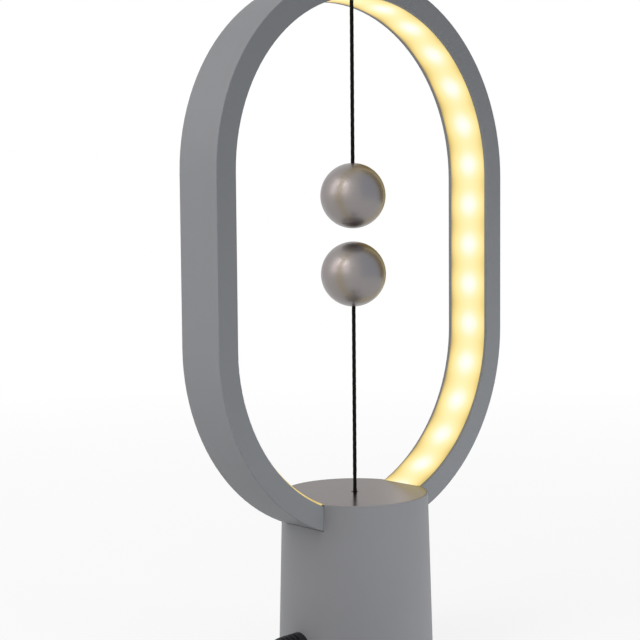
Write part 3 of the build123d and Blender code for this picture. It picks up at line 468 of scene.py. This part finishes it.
FINISHES: dict[str, Finish | LitDiffuser] = {
    # base and ring wear one powder coat; the base's tone is set lighter as painted light, standing in for the
    # stronger light that falls on the base
    "base_paint": Finish("Powder coat, base", (129, 130, 133), **POWDER),
    "ring_paint": Finish("Powder coat, ring", (124, 126, 129), **POWDER),
    "disc_metal": Finish(
        "Circular brushed steel", (158, 153, 151), 0.05, (0.2, 0.26), 2.5e-6, 1.0, edge=0.62,
        texture=Texture.TURNED, settings={"Scale": 5200.0, "Flat": 1.0, "Breaks": 1.2},
    ),
    "ball_metal": Finish(
        "Satin turned steel", (141, 136, 135), 0.04, (0.36, 0.44), 1.5e-6, 1.0, coat=0.35,
        texture=Texture.TURNED, settings={"Scale": 4200.0, "Flat": 0.0, "Breaks": 1.0},
    ),
    "diffuser_plastic": LitDiffuser(),
    "strip_white": Finish("White circuit strip", (232, 231, 224), 0.03, (0.45, 0.6), 1e-5),
    "led_lens": Finish("Yellow LED lens", (246, 222, 120), 0.05, (0.2, 0.3), 4e-6, settings={"Scale": 900.0}),
    # the cord's wide colour spread follows the braid's mask: painted shade in the grooves between strands,
    # with random fibre tone
    "string_fabric": Finish(
        "Black braided cord", (15, 15, 14), 0.4, (0.75, 0.95), 4e-5, specular=0.08, sheen=0.02,
        texture=Texture.BRAID, settings={"Strands": 8.0, "Pitch": 0.0011},
    ),
    "black_plastic": Finish("Black moulded plastic", (20, 20, 21), 0.1, (0.4, 0.55), 1.5e-5),
    "cage_plastic": Finish("Natural nylon", (205, 203, 195), 0.04, (0.4, 0.5), 1.2e-5),
    "slider_plastic": Finish("Polished acetal", (228, 227, 222), 0.03, (0.22, 0.32), 6e-6),
    "plunger_red": Finish("Red acetal", (178, 24, 18), 0.08, (0.25, 0.35), 6e-6),
    "tongue_plastic": Finish("White plug insulator", (236, 236, 234), 0.03, (0.3, 0.4), 6e-6),
    "foot_rubber": Finish("Foot rubber", (22, 22, 22), 0.12, (0.75, 0.9), 5e-5, specular=0.3),
    "boot_rubber": Finish("Boot rubber", (13, 12, 16), 0.12, (0.5, 0.65), 2.5e-5, specular=0.4),
    "lead_rubber": Finish("Lead sheath", (19, 19, 20), 0.1, (0.38, 0.5), 1.5e-5, specular=0.45),
    "ballast_iron": Finish(
        "Cast iron", (62, 59, 56), 0.18, (0.55, 0.75), 9e-5, 0.7, settings={"Scale": 900.0}
    ),
    "screw_steel": Finish(
        "Zinc plated steel", (178, 178, 174), 0.06, (0.22, 0.34), 4e-6, 1.0,
        texture=Texture.TURNED, settings={"Scale": 4000.0, "Flat": 1.0},
    ),
    "plug_steel": Finish(
        "Nickel plated shell", (186, 185, 181), 0.04, (0.2, 0.3), 4e-6, 1.0, texture=Texture.ROLLED
    ),
    "magnet_nickel": Finish("Nickel plated magnet", (196, 194, 186), 0.04, (0.1, 0.2), 4e-6, 1.0),
    "contact_brass": Finish(
        "Tinned brass", (204, 170, 96), 0.06, (0.22, 0.35), 4e-6, 1.0, texture=Texture.ROLLED
    ),
    "board_green": Finish("Green solder mask", (18, 82, 44), 0.1, (0.25, 0.35), 1e-5, coat=0.3),
    "wire_red": Finish("Red wire sleeve", (158, 20, 16), 0.08, (0.35, 0.45), 8e-6),
    "wire_white": Finish("White wire sleeve", (224, 223, 218), 0.04, (0.35, 0.45), 8e-6),
}


def dress(piece: bpy.types.Object, slot: str) -> None:
    """Give a piece the finish of a material slot."""
    piece.data.materials.clear()
    piece.data.materials.append(FINISHES[slot].material())


# --- mesh building
def linked(name: str, data: Any) -> bpy.types.Object:
    """Return a new object with this data, linked to the scene at the origin."""
    made = bpy.data.objects.new(name, data)
    bpy.context.scene.collection.objects.link(made)
    return made


def finished(bm: bmesh.types.BMesh, name: str) -> bpy.types.Object:
    """Turn a bmesh into a piece at the origin, with its faces outwards and smooth but for sharp edges.

    Args:
        bm: The bmesh, which is freed.
        name: The piece's name.

    Returns:
        The linked object.
    """
    bmesh.ops.remove_doubles(bm, verts=bm.verts, dist=MERGE_WITHIN)
    bmesh.ops.recalc_face_normals(bm, faces=bm.faces)
    for face in bm.faces:
        face.smooth = True
    for edge in bm.edges:
        edge.smooth = len(edge.link_faces) == 2 and edge.calc_face_angle() < SMOOTH_BELOW
    mesh = bpy.data.meshes.new(name)
    bm.to_mesh(mesh)
    bm.free()
    return linked(name, mesh)


def block(bm: bmesh.types.BMesh, size: Point, edge: float, segments: int) -> list[bmesh.types.BMVert]:
    """Add a bevelled block round the origin.

    Args:
        bm: The bmesh.
        size: Its length, width and height.
        edge: Size of the bevel.
        segments: Faces across the bevel.

    Returns:
        The block's vertices.
    """
    verts = bmesh.ops.create_cube(bm, size=1.0)["verts"]
    bmesh.ops.scale(bm, verts=verts, vec=size)
    return bmesh.ops.bevel(
        bm, geom=list({line for vert in verts for line in vert.link_edges}), offset=edge,
        segments=segments, profile=0.5, affect="EDGES", material=-1,
    )["verts"]


def nurbs(name: str, points: Sequence[Point], bevel: float = 0.0) -> bpy.types.Object:
    """Make a smooth curve of one open spline.

    Args:
        name: The object's name.
        points: Its control points, in metres.
        bevel: Radius of its round section, or 0 for a bare line.

    Returns:
        The linked curve object.
    """
    curve = bpy.data.curves.new(name, "CURVE")
    curve.dimensions = "3D"
    curve.resolution_u = CURVE_STEPS
    curve.bevel_depth = bevel
    curve.bevel_resolution = BEVEL_STEPS
    curve.use_fill_caps = True
    spline = curve.splines.new("NURBS")
    spline.points.add(len(points) - 1)
    for spot, point in zip(spline.points, points):
        spot.co = (*point, 1.0)
    spline.order_u = 3
    spline.use_endpoint_u = True
    return linked(name, curve)


def centreline(points: Sequence[Point]) -> list[Point]:
    """Return points along the smooth line that these control points give."""
    line = nurbs("centreline", points)
    bpy.context.view_layer.update()
    mesh = bpy.data.meshes.new_from_object(line.evaluated_get(bpy.context.evaluated_depsgraph_get()))
    found = [tuple(vertex.co) for vertex in mesh.vertices]
    bpy.data.meshes.remove(mesh)
    curve = line.data
    bpy.data.objects.remove(line)
    bpy.data.curves.remove(curve)
    return found


def upright(start: float, end: float) -> list[Point]:
    """Return five even points on the Z axis from one height to another."""
    return [(0.0, 0.0, start + count / 4 * (end - start)) for count in range(5)]


@dataclass
class BraidedCord:
    """A straight length of black braided cord, slightly knobbly, with rounded ends.

    Attributes:
        name: The piece's name.
        low: Height of the middle of its lower end.
        high: Height of the middle of its upper end.
        radius: Its mean radius.
        round_low: True for a domed lower end.
        round_high: True for a domed upper end.
        lobes: Strand bundles round the section.
        lobe_share: How far a bundle stands out, as a share of the radius.
        lay_length: Length in which the bundles go round once.
        step: Length of one row of faces.
        sides: Faces round the section.
        cap_rings: Rows of faces in a domed end.
    """

    name: str
    low: float
    high: float
    radius: float = 0.97 * MM
    round_low: bool = True
    round_high: bool = True
    lobes: int = 3
    lobe_share: float = 0.035
    lay_length: float = 14.0 * MM
    step: float = 0.5 * MM
    sides: int = 24
    cap_rings: int = 5

    def dome(self, bm: bmesh.types.BMesh, rim: list[bmesh.types.BMEdge], way: float) -> None:
        """Close an end with a round cap.

        Args:
            bm: The bmesh.
            rim: Edges of the open end.
            way: 1 to build upwards, -1 downwards.
        """
        done, share = 0.0, 1.0
        for ring in range(1, self.cap_rings + 1):
            angle = ring / self.cap_rings * math.pi / 2 * 0.98  # the last ring stays just open
            grown = bmesh.ops.extrude_edge_only(bm, edges=rim)["geom"]
            verts = [item for item in grown if isinstance(item, bmesh.types.BMVert)]
            rim = [item for item in grown if isinstance(item, bmesh.types.BMEdge)]
            rise = self.radius * math.sin(angle)
            bmesh.ops.translate(bm, verts=verts, vec=(0, 0, way * (rise - done)))
            bmesh.ops.scale(bm, verts=verts, vec=(math.cos(angle) / share, math.cos(angle) / share, 1))
            done, share = rise, math.cos(angle)
        bmesh.ops.contextual_create(bm, geom=rim)

    def unwrap(self, bm: bmesh.types.BMesh) -> None:
        """Lay a UV of turn (0 to 1) and length (metres) on every face."""
        layer = bm.loops.layers.uv.new("UVMap")
        for face in bm.faces:
            middle = face.calc_center_median()
            home = math.atan2(middle.y, middle.x)
            for loop in face.loops:
                turn = math.atan2(loop.vert.co.y, loop.vert.co.x)
                turn += math.tau * round((home - turn) / math.tau)
                loop[layer].uv = (turn / math.tau, loop.vert.co.z)

    def build(self) -> bpy.types.Object:
        """Return the cord as a dressed piece that rides on nothing yet."""
        bm = bmesh.new()
        bmesh.ops.create_circle(bm, segments=self.sides, radius=self.radius)
        for vert in bm.verts:
            turn = math.atan2(vert.co.y, vert.co.x)
            swell = 1 + self.lobe_share * math.cos(self.lobes * turn)
            vert.co = Vector((vert.co.x * swell, vert.co.y * swell, self.low))
        foot = list(bm.edges)
        steps = round((self.high - self.low) / self.step)
        rise = (self.high - self.low) / steps
        spun = bmesh.ops.spin(
            bm, geom=list(bm.verts) + foot, cent=(0, 0, 0), axis=(0, 0, 1), dvec=(0, 0, rise),
            angle=math.tau * (self.high - self.low) / self.lay_length, steps=steps,
        )
        head = [item for item in spun["geom_last"] if isinstance(item, bmesh.types.BMEdge)]
        for rim, rounded, way in ((foot, self.round_low, -1), (head, self.round_high, 1)):
            if rounded:
                self.dome(bm, rim, way)
            else:
                bmesh.ops.contextual_create(bm, geom=rim)
        self.unwrap(bm)
        piece = finished(bm, self.name)
        dress(piece, "string_fabric")
        return piece


# --- the power lead
@dataclass
class PowerLead:
    """The lead from the boot to the plug, its unseen length wound into a coil on the floor.

    The routes, the coil and the floor are in millimetres, and build scales them to metres.

    Attributes:
        radius: Of the sheath.
        route: Control points from the boot to the coil.
        end_route: Control points from the coil to the plug.
        coil_centre: Middle of the coil on the floor.
        coil_radius: Radius where the lead enters the coil.
        pitch: From turn to turn, across and up.
        layers: Layers of turns.
        half_turns: Level half turns in a layer.
        floor: Height of the lead's middle where it lies on the floor.
        length: Its real length outside the boot; not used.
    """

    radius: float = 2.0 * MM
    route: Sequence[Point] = (
        (-61.5, 0.0, 15.2), (-76.0, 0.0, 15.2), (-90.5, -3.5, 6.8),
        (-97.5, -18.0, 2.1), (-95.5, -38.0, 2.1), (-95.5, -66.0, 2.1),
    )
    end_route: Sequence[Point] = (
        (-97.75, -74.0, 15.6), (-97.75, -84.0, 15.6), (-95.5, -100.0, 9.5),
        (-84.0, -114.0, 4.5), (-64.0, -117.0, 4.3), (-50.0, -117.0, 4.3),
    )
    coil_centre: tuple[float, float] = (-70.0, -70.0)
    coil_radius: float = 25.5
    pitch: float = 4.5
    layers: int = 4
    half_turns: int = 4
    floor: float = 2.1
    length: float = 1500.0 * MM

    def crossings(self) -> list[tuple[float, float]]:
        """Return where the coil crosses its own X axis, half a turn apart, as x and height."""
        radius, side = self.coil_radius, -1
        found = [(side * radius, self.floor)]
        for layer in range(self.layers):
            way = 1 if layer % 2 else -1
            last = layer == self.layers - 1
            for half_turn in range(self.half_turns + last):
                radius += way * self.pitch / 2 * (2 if layer and not half_turn else 1)
                side = -side
                found.append((side * radius, self.floor + layer * self.pitch))
            if not last:
                radius += way * self.pitch / 2
                side = -side
                found.append((side * radius, self.floor + (layer + 1) * self.pitch))
        return found

    def turns(self, per_half: int = 12) -> list[Point]:
        """Follow the coil.

        Args:
            per_half: Control points in a half turn.

        Returns:
            The coil's control points.
        """
        points = []
        crossings = self.crossings()
        for (x0, z0), (x1, z1) in zip(crossings, crossings[1:]):
            middle, reach = (x0 + x1) / 2, abs(x1 - x0) / 2 / math.cos(math.pi / 2 / per_half)
            for count in range(per_half):
                share = (count + 0.5) / per_half
                angle = math.pi * share + (math.pi if x0 < 0 else 0)
                points.append((
                    self.coil_centre[0] + middle + reach * math.cos(angle),
                    self.coil_centre[1] + reach * math.sin(angle),
                    z0 + (z1 - z0) * (3 * share**2 - 2 * share**3),
                ))
        return points

    def build(self) -> bpy.types.Object:
        """Return the lead as one cord, and build its plug."""
        points = [
            tuple(value * MM for value in point)
            for point in (*self.route, *self.turns(), *self.end_route)
        ]
        lead = nurbs("power_lead", points, self.radius)
        dress(lead, "lead_rubber")
        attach(lead, "lamp")
        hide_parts("power_cord", "power_cord_coil", "power_cord_end")
        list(Plug().build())
        return lead


@dataclass
class Plug:
    """The lead's moulded USB plug, with ribbed grips and gilt contacts, pointing along +X.

    Attributes:
        seat: Where the lead enters the plug's neck.
        neck: Length of the tapered neck.
        cone: Radius of the neck where the lead enters it, and at the body.
        cone_sides: Faces round the neck.
        overlap: How far the neck reaches into the body.
        body: Length, width and height of the moulded body.
        body_edge: Radius of the body's rounded edges.
        rib: Length, width and height of a rib of the grip.
        rib_edge: Radius of a rib's rounded edges.
        rib_sink: How far a rib's middle lies under the face.
        rib_start: From the body's back to the first rib.
        rib_pitch: From rib to rib.
        ribs: Ribs on each broad face.
        shell_length: Length of the metal shell.
        contact: Length, width and height of a contact.
        contact_edge: Size of a contact's bevel.
        contact_set: From the shell's mouth to the middle of the contacts.
        contact_drop: From the shell's middle down to the contacts' middle.
        contact_rows: Y of each contact.
    """

    seat: Point = (-50.0 * MM, -117.0 * MM, 4.3 * MM)
    neck: float = 7.0 * MM
    cone: tuple[float, float] = (2.7 * MM, 3.6 * MM)
    cone_sides: int = 32
    overlap: float = 1.0 * MM
    body: Point = (24.0 * MM, 15.5 * MM, 8.2 * MM)
    body_edge: float = 1.4 * MM
    rib: Point = (1.2 * MM, 9.0 * MM, 0.5 * MM)
    rib_edge: float = 0.24 * MM
    rib_sink: float = 0.1 * MM
    rib_start: float = 7.0 * MM
    rib_pitch: float = 2.4 * MM
    ribs: int = 5
    shell_length: float = 18.7 * MM
    contact: Point = (7.5 * MM, 1.0 * MM, 0.12 * MM)
    contact_edge: float = 0.03 * MM
    contact_set: float = 5.4 * MM
    contact_drop: float = 0.09 * MM
    contact_rows: Sequence[float] = (-3.5 * MM, -1.0 * MM, 1.0 * MM, 3.5 * MM)

    def grip(self, bm: bmesh.types.BMesh, side: float) -> None:
        """Raise a row of ribs on one broad face of the body.

        Args:
            bm: The bmesh.
            side: 1 for the upper face, -1 for the lower one.
        """
        for count in range(self.ribs):
            rib = block(bm, self.rib, self.rib_edge, 2)
            along = self.neck + self.rib_start + self.rib_pitch * count
            bmesh.ops.translate(bm, verts=rib, vec=(along, 0, side * (self.body[2] / 2 - self.rib_sink)))

    def mould(self) -> bmesh.types.BMesh:
        """Return the moulded body with its neck and ribs."""
        bm = bmesh.new()
        body = block(bm, self.body, self.body_edge, 5)
        bmesh.ops.translate(bm, verts=body, vec=(self.neck + self.body[0] / 2, 0, 0))
        depth = self.neck + self.overlap
        cone = bmesh.ops.create_cone(
            bm, cap_ends=True, segments=self.cone_sides, radius1=self.cone[0], radius2=self.cone[1],
            depth=depth,
        )["verts"]
        bmesh.ops.rotate(bm, verts=cone, cent=(0, 0, 0), matrix=Matrix.Rotation(math.pi / 2, 3, "Y"))
        bmesh.ops.translate(bm, verts=cone, vec=(depth / 2, 0, 0))
        for side in (-1, 1):
            self.grip(bm, side)
        return bm

    def gilt(self) -> bmesh.types.BMesh:
        """Return the contacts that lie on the tongue."""
        bm = bmesh.new()
        along = self.neck + self.body[0] + self.shell_length - self.contact_set
        for y in self.contact_rows:
            strip = block(bm, self.contact, self.contact_edge, 1)
            bmesh.ops.translate(bm, verts=strip, vec=(along, y, -self.contact_drop))
        return bm

    def build(self) -> list[bpy.types.Object]:
        """Return the moulded body and the contacts, riding on the lamp."""
        made = []
        for bm, name, slot in (
            (self.mould(), "plug_body", "black_plastic"), (self.gilt(), "plug_contacts", "contact_brass"),
        ):
            bmesh.ops.translate(bm, verts=bm.verts, vec=self.seat)
            piece = finished(bm, name)
            dress(piece, slot)
            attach(piece, "lamp")
            made.append(piece)
        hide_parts("usb_plug_body")
        return made


# --- cords and balls
@dataclass
class BallCords:
    """The two cords that carry the balls, split where they pivot.

    Attributes:
        upper_pivot: Height of the upper cord's pivot.
        lower_pivot: Height of the lower cord's pivot.
        bend: Height where the slack lower cord folds; not used.
        bend_reach: How far each side of the bend the fold spreads; not used.
        link_foot: Height where the link's sleeve starts over the neck.
        upper_knot: Height of the knot inside the upper ball.
        lower_knot: Height of the knot inside the lower ball.
        stub_top: Height of the knot in the ring's anchor.
        thickness: Of either cord.
        throat_foot: Height where the lower cord's end starts, in the base's guide.
        throat_radius: Its radius.
        neck_radius: Radius of the neck above the pivot.
        neck_overlap: How far the neck reaches into the cord.
    """

    upper_pivot: float = 337.05 * MM
    lower_pivot: float = 89.6 * MM
    bend: float = 135.6 * MM
    bend_reach: float = 14.0 * MM
    link_foot: float = 96.6 * MM
    upper_knot: float = 252.8 * MM
    lower_knot: float = 188.45 * MM
    stub_top: float = 345.4 * MM
    thickness: float = 2.0 * MM
    throat_foot: float = 81.0 * MM
    throat_radius: float = 1.0 * MM
    neck_radius: float = 0.9 * MM
    neck_overlap: float = 1.0 * MM

    def upper(self) -> list[bpy.types.Object]:
        """Build the upper cord and the short end above its pivot."""
        stub = BraidedCord("upper_cord_root", self.upper_pivot, self.stub_top, round_high=False).build()
        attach(stub, "lamp")
        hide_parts("upper_cord_stub")
        cord = BraidedCord("upper_ball_cord", self.upper_knot, self.upper_pivot).build()
        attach(cord, "upper_string")
        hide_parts("upper_cord", "upper_bead")
        route = upright(self.upper_pivot, self.upper_knot)
        centreline(route)
        return [stub, cord]

    def lower(self) -> list[bpy.types.Object]:
        """Build the lower cord, its neck at the pivot and the end that goes down to the switch."""
        throat = BraidedCord(
            "lower_cord_throat", self.throat_foot, self.lower_pivot, self.throat_radius, round_low=False
        ).build()
        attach(throat, "lamp")
        neck = BraidedCord(
            "lower_cord_neck", self.lower_pivot, self.link_foot + self.neck_overlap, self.neck_radius
        ).build()
        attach(neck, "lower_root")
        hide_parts("lower_neck", "lower_bead")
        cord = BraidedCord("lower_ball_cord", self.link_foot, self.lower_knot, round_low=False).build()
        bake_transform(cord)
        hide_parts("lower_cord_link", "lower_cord")
        route = upright(self.link_foot, self.lower_knot)
        centreline(route)
        return [throat, neck, cord]


@dataclass
class Ball:
    """A magnetic ball's satin metal skin, with a rounded hole for its cord.

    Attributes:
        name: upper or lower.
        centre_z: Height of its centre.
        cord_side: 1 if the cord comes in from above, -1 from below.
        radius: Of the skin.
        hole: Radius of the cord's hole.
        lip: Steps inwards and down that round the hole's edge and line it.
        rows: Rows of faces from the hole to the far pole.
        sides: Faces round the vertical axis.
    """

    name: str
    centre_z: float
    cord_side: int
    radius: float = 16.65 * MM
    hole: float = 1.15 * MM
    lip: Sequence[tuple[float, float]] = ((0.25 * MM, 0.08 * MM), (0.1 * MM, 0.25 * MM), (0.0, 1.5 * MM))
    rows: int = 72
    sides: int = 128

    def build(self) -> bpy.types.Object:
        """Return the skin, spun round its vertical axis and closed but for the cord's hole."""
        bm = bmesh.new()
        start = math.asin((self.hole + sum(inwards for inwards, _ in self.lip)) / self.radius)
        first = bm.verts.new((self.radius * math.sin(start), 0, self.radius * math.cos(start)))
        bmesh.ops.spin(
            bm, geom=[first], cent=(0, 0, 0), axis=(0, 1, 0), angle=math.pi - start, steps=self.rows
        )
        rim = [first]
        for inwards, down in self.lip:
            rim = bmesh.ops.extrude_vert_indiv(bm, verts=rim)["verts"]
            bmesh.ops.translate(bm, verts=rim, vec=(-inwards, 0, -down))
        bmesh.ops.spin(
            bm, geom=list(bm.verts) + list(bm.edges), cent=(0, 0, 0), axis=(0, 0, 1),
            angle=math.tau, steps=self.sides, use_merge=True,
        )
        if self.cord_side < 0:
            bmesh.ops.rotate(bm, verts=bm.verts, cent=(0, 0, 0), matrix=Matrix.Rotation(math.pi, 3, "X"))
        bmesh.ops.translate(bm, verts=bm.verts, vec=(0, 0, self.centre_z))
        skin = finished(bm, f"{self.name}_ball_skin")
        dress(skin, "ball_metal")
        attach(skin, f"{self.name}_ball")
        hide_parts(f"{self.name}_ball_top", f"{self.name}_ball_bottom")
        return skin


# --- studio
@dataclass
class Studio:
    """Camera, pale floor, world and soft lights.

    Attributes:
        focal: Focal length in image widths of 640 pixels.
        azimuth: Camera's turn round the lamp, in degrees.
        elevation: Camera's height above the horizon, in degrees.
        distance: From the point it turns about.
        shift_right: Sideways offset of that point.
        aim_z: Height of that point.
        roll: Camera's roll, in degrees.
        card_distance: From the lamp's axis to the cards that the metal reflects.
        card_steps: Faces along a card's curve.
        floor_reach: Half the width of the floor.
    """

    focal: float = 1414.372 / 640
    azimuth: float = -42.87
    elevation: float = 4.152
    distance: float = 726.004 * MM
    shift_right: float = -17.331 * MM
    aim_z: float = 177.179 * MM
    roll: float = -0.496
    card_distance: float = 1.3
    card_steps: int = 16
    floor_reach: float = 12.0

    def camera(self) -> None:
        """Place the camera at the photograph's viewpoint."""
        a, e, r = (math.radians(value) for value in (self.azimuth, self.elevation, self.roll))
        back = Vector((math.sin(a) * math.cos(e), -math.cos(a) * math.cos(e), math.sin(e)))
        right = Vector((math.cos(a), math.sin(a), 0))
        up = back.cross(right)
        place = Vector((0, 0, self.aim_z)) + back * self.distance + right * self.shift_right
        across = right * math.cos(r) + up * math.sin(r)
        upward = up * math.cos(r) - right * math.sin(r)
        data = bpy.data.cameras.new("photo_camera")
        data.sensor_fit = "HORIZONTAL"
        data.sensor_width = 36.0
        data.lens = self.focal * data.sensor_width
        data.clip_start, data.clip_end = 0.01, 50.0
        made = linked("photo_camera", data)
        made.matrix_world = Matrix.Translation(place) @ Matrix((across, upward, back)).transposed().to_4x4()
        bpy.context.scene.camera = made

    def seen(self, kit: NodeKit) -> bpy.types.NodeSocket:
        """Wire 1 for the camera, glossy and transmission rays that see the backdrop, 0 for others."""
        rays = kit.add("ShaderNodeLightPath")
        either = kit.math("MAXIMUM", rays.outputs["Is Camera Ray"], rays.outputs["Is Glossy Ray"])
        return kit.math("MAXIMUM", either, rays.outputs["Is Transmission Ray"])

    def world(self, strength: float) -> None:
        """Make the world white to look at, with its own strength as a light.

        Args:
            strength: How bright it is as a light.
        """
        world = bpy.data.worlds.new("studio_world")
        bpy.context.scene.world = world
        world.use_nodes = True
        kit = NodeKit(world.node_tree)
        light = kit.add("ShaderNodeBackground", {"Color": (0.97, 0.985, 1.0, 1), "Strength": strength})
        backdrop = kit.add("ShaderNodeBackground", {"Color": (1, 1, 1, 1)})
        mix = kit.add(
            "ShaderNodeMixShader", {0: self.seen(kit), 1: light.outputs[0], 2: backdrop.outputs[0]}
        )
        kit.add("ShaderNodeOutputWorld", {"Surface": mix.outputs[0]})

    def floor(self, glow: float, reach: float) -> None:
        """Lay a wide white floor that still takes the lamp's shadow.

        Args:
            glow: Share of its look under the lamp that is plain white rather than lit.
            reach: How far out it has faded into the white backdrop.
        """
        bm = bmesh.new()
        bmesh.ops.create_grid(bm, x_segments=1, y_segments=1, size=self.floor_reach)
        floor = finished(bm, "studio_floor")
        made, kit = empty_material("Studio floor")
        matt = kit.add("ShaderNodeBsdfDiffuse", {"Color": (0.9, 0.9, 0.9, 1)})
        white = kit.add("ShaderNodeEmission")
        away = kit.add("ShaderNodeVectorMath", {0: kit.place()}, operation="LENGTH").outputs["Value"]
        share = kit.spread(kit.math("DIVIDE", away, reach), glow, 1.0)
        shown = kit.math("MULTIPLY", self.seen(kit), share)
        kit.surface(kit.add("ShaderNodeMixShader", {0: shown, 1: matt.outputs[0], 2: white.outputs[0]}))
        floor.data.materials.append(made)

    def softbox(
        self, name: str, toward: Point, distance: float, size: tuple[float, float], radiance: float,
        colour: Point = (1, 1, 1), aim: Point | None = None, spread: float = 180.0,
    ) -> bpy.types.Object:
        """Hang a soft light.

        Args:
            name: The light's name.
            toward: Direction from the lamp's middle to the light.
            distance: How far away it hangs.
            size: Its width and height.
            radiance: How bright its face is, where the backdrop is 1.
            colour: Its colour.
            aim: What it points at, or None for the lamp's middle.
            spread: How wide its beam opens, in degrees.

        Returns:
            The light.
        """
        data = bpy.data.lights.new(name, "AREA")
        data.shape = "RECTANGLE"
        data.size, data.size_y = size
        data.energy = radiance * math.pi * size[0] * size[1]
        data.color = colour
        data.spread = math.radians(spread)
        light = linked(name, data)
        middle = Vector((0, 0, self.aim_z))
        light.location = middle + Vector(toward).normalized() * distance
        way = light.location - (middle if aim is None else Vector(aim))
        light.rotation_euler = way.to_track_quat("Z", "Y").to_euler()
        return light

    def card(
        self, name: str, azimuths: tuple[float, float], heights: tuple[float, float], colour: RGBA,
        strength: float,
    ) -> None:
        """Stand a curved card round the lamp that shows only in reflections.

        Args:
            name: The card's name.
            azimuths: Where it starts and ends, in degrees from +X towards +Y.
            heights: Its lower and upper edge.
            colour: Its colour.
            strength: How bright it is.
        """
        bm = bmesh.new()
        start = math.radians(azimuths[0])
        x, y = self.card_distance * math.cos(start), self.card_distance * math.sin(start)
        foot, top = (bm.verts.new((x, y, height)) for height in heights)
        edge = bm.edges.new((foot, top))
        bmesh.ops.spin(
            bm, geom=[foot, top, edge], cent=(0, 0, 0), axis=(0, 0, 1),
            angle=math.radians(azimuths[1] - azimuths[0]), steps=self.card_steps,
        )
        card = finished(bm, name)
        made, kit = empty_material(name)
        kit.surface(kit.add("ShaderNodeEmission", {"Color": colour, "Strength": strength}))
        card.data.materials.append(made)
        card.visible_camera = card.visible_diffuse = card.visible_shadow = False
        card.visible_transmission = card.visible_volume_scatter = False

    def build(self) -> None:
        """Set up everything round the lamp."""
        bpy.context.scene.view_settings.view_transform = "Standard"
        self.camera()
        self.world(strength=0.53)
        self.floor(glow=0.8, reach=1.2)
        self.softbox(
            "key_softbox", toward=(-0.82, 0.05, 0.57), distance=1.5, size=(0.8, 0.9), radiance=4.7,
            colour=(1.0, 0.965, 0.955),
        )
        fill = self.softbox(
            "low_fill", toward=(0.25, -0.8, -0.07), distance=0.84, size=(0.2, 0.2), radiance=1.7,
            colour=(0.97, 0.98, 1.0), aim=(0.05, 0.0, 0.04), spread=44.0,
        )
        fill.visible_camera = fill.visible_glossy = False
        for name, azimuths, heights, colour, strength in (
            ("gold_card", (-27.0, 41.8), (0.0, 3.0), srgb((160, 136, 76)), 1.0),
            ("bright_card", (41.8, 42.9), (0.0, 3.0), (1, 0.95, 0.94, 1), 1.9),
            ("grey_card", (42.9, 100.0), (0.0, 0.9), (0.88, 0.86, 0.86, 1), 1.0),
            ("rose_card", (138.0, 207.0), (0.35, 1.6), (1.0, 0.94, 0.93, 1), 2.5),
            ("cool_card", (252.0, 333.0), (0.0, 3.0), (0.72, 0.77, 0.85, 1), 1.0),
        ):
            self.card(name, azimuths, heights, colour, strength)


# --- the lamp
@dataclass
class Frame:
    """The CAD nodes, dressed as they are.

    Attributes:
        nodes: The nodes by name.
        slots: Each node's material slot.
    """

    nodes: dict[str, bpy.types.Object] = field(default_factory=lambda: FRAME["nodes"])
    slots: dict[str, str] = field(
        default_factory=lambda: {row["node"]: row["material_slot"] for row in FRAME["record"]["subparts"]}
    )

    def dress(self) -> int:
        """Give every node the finish of its slot, and return how many there are."""
        for name, node in self.nodes.items():
            dress(node, self.slots[name])
            node.data.polygons.foreach_set("use_smooth", [True] * len(node.data.polygons))
        return len(self.nodes)


def report(pieces: Iterable[bpy.types.Object]) -> None:
    """Log each piece's name and its number of faces or curve points."""
    for piece in pieces:
        parts = piece.data.polygons if piece.type == "MESH" else piece.data.splines[0].points
        log.info("%s: %d", piece.name, len(parts))


def main() -> None:
    """Build the studio and the lamp."""
    logging.basicConfig(level=logging.INFO, format="%(name)s %(message)s")
    Studio().build()
    report([PowerLead().build()])
    cords = BallCords()
    report([*cords.upper(), *cords.lower()])
    log.info("dressed %d CAD nodes", Frame().dress())
    balls = (
        Ball("upper", centre_z=240.6 * MM, cord_side=1), Ball("lower", centre_z=200.65 * MM, cord_side=-1)
    )
    report([ball.build() for ball in balls])


if __name__ == "__main__":
    main()
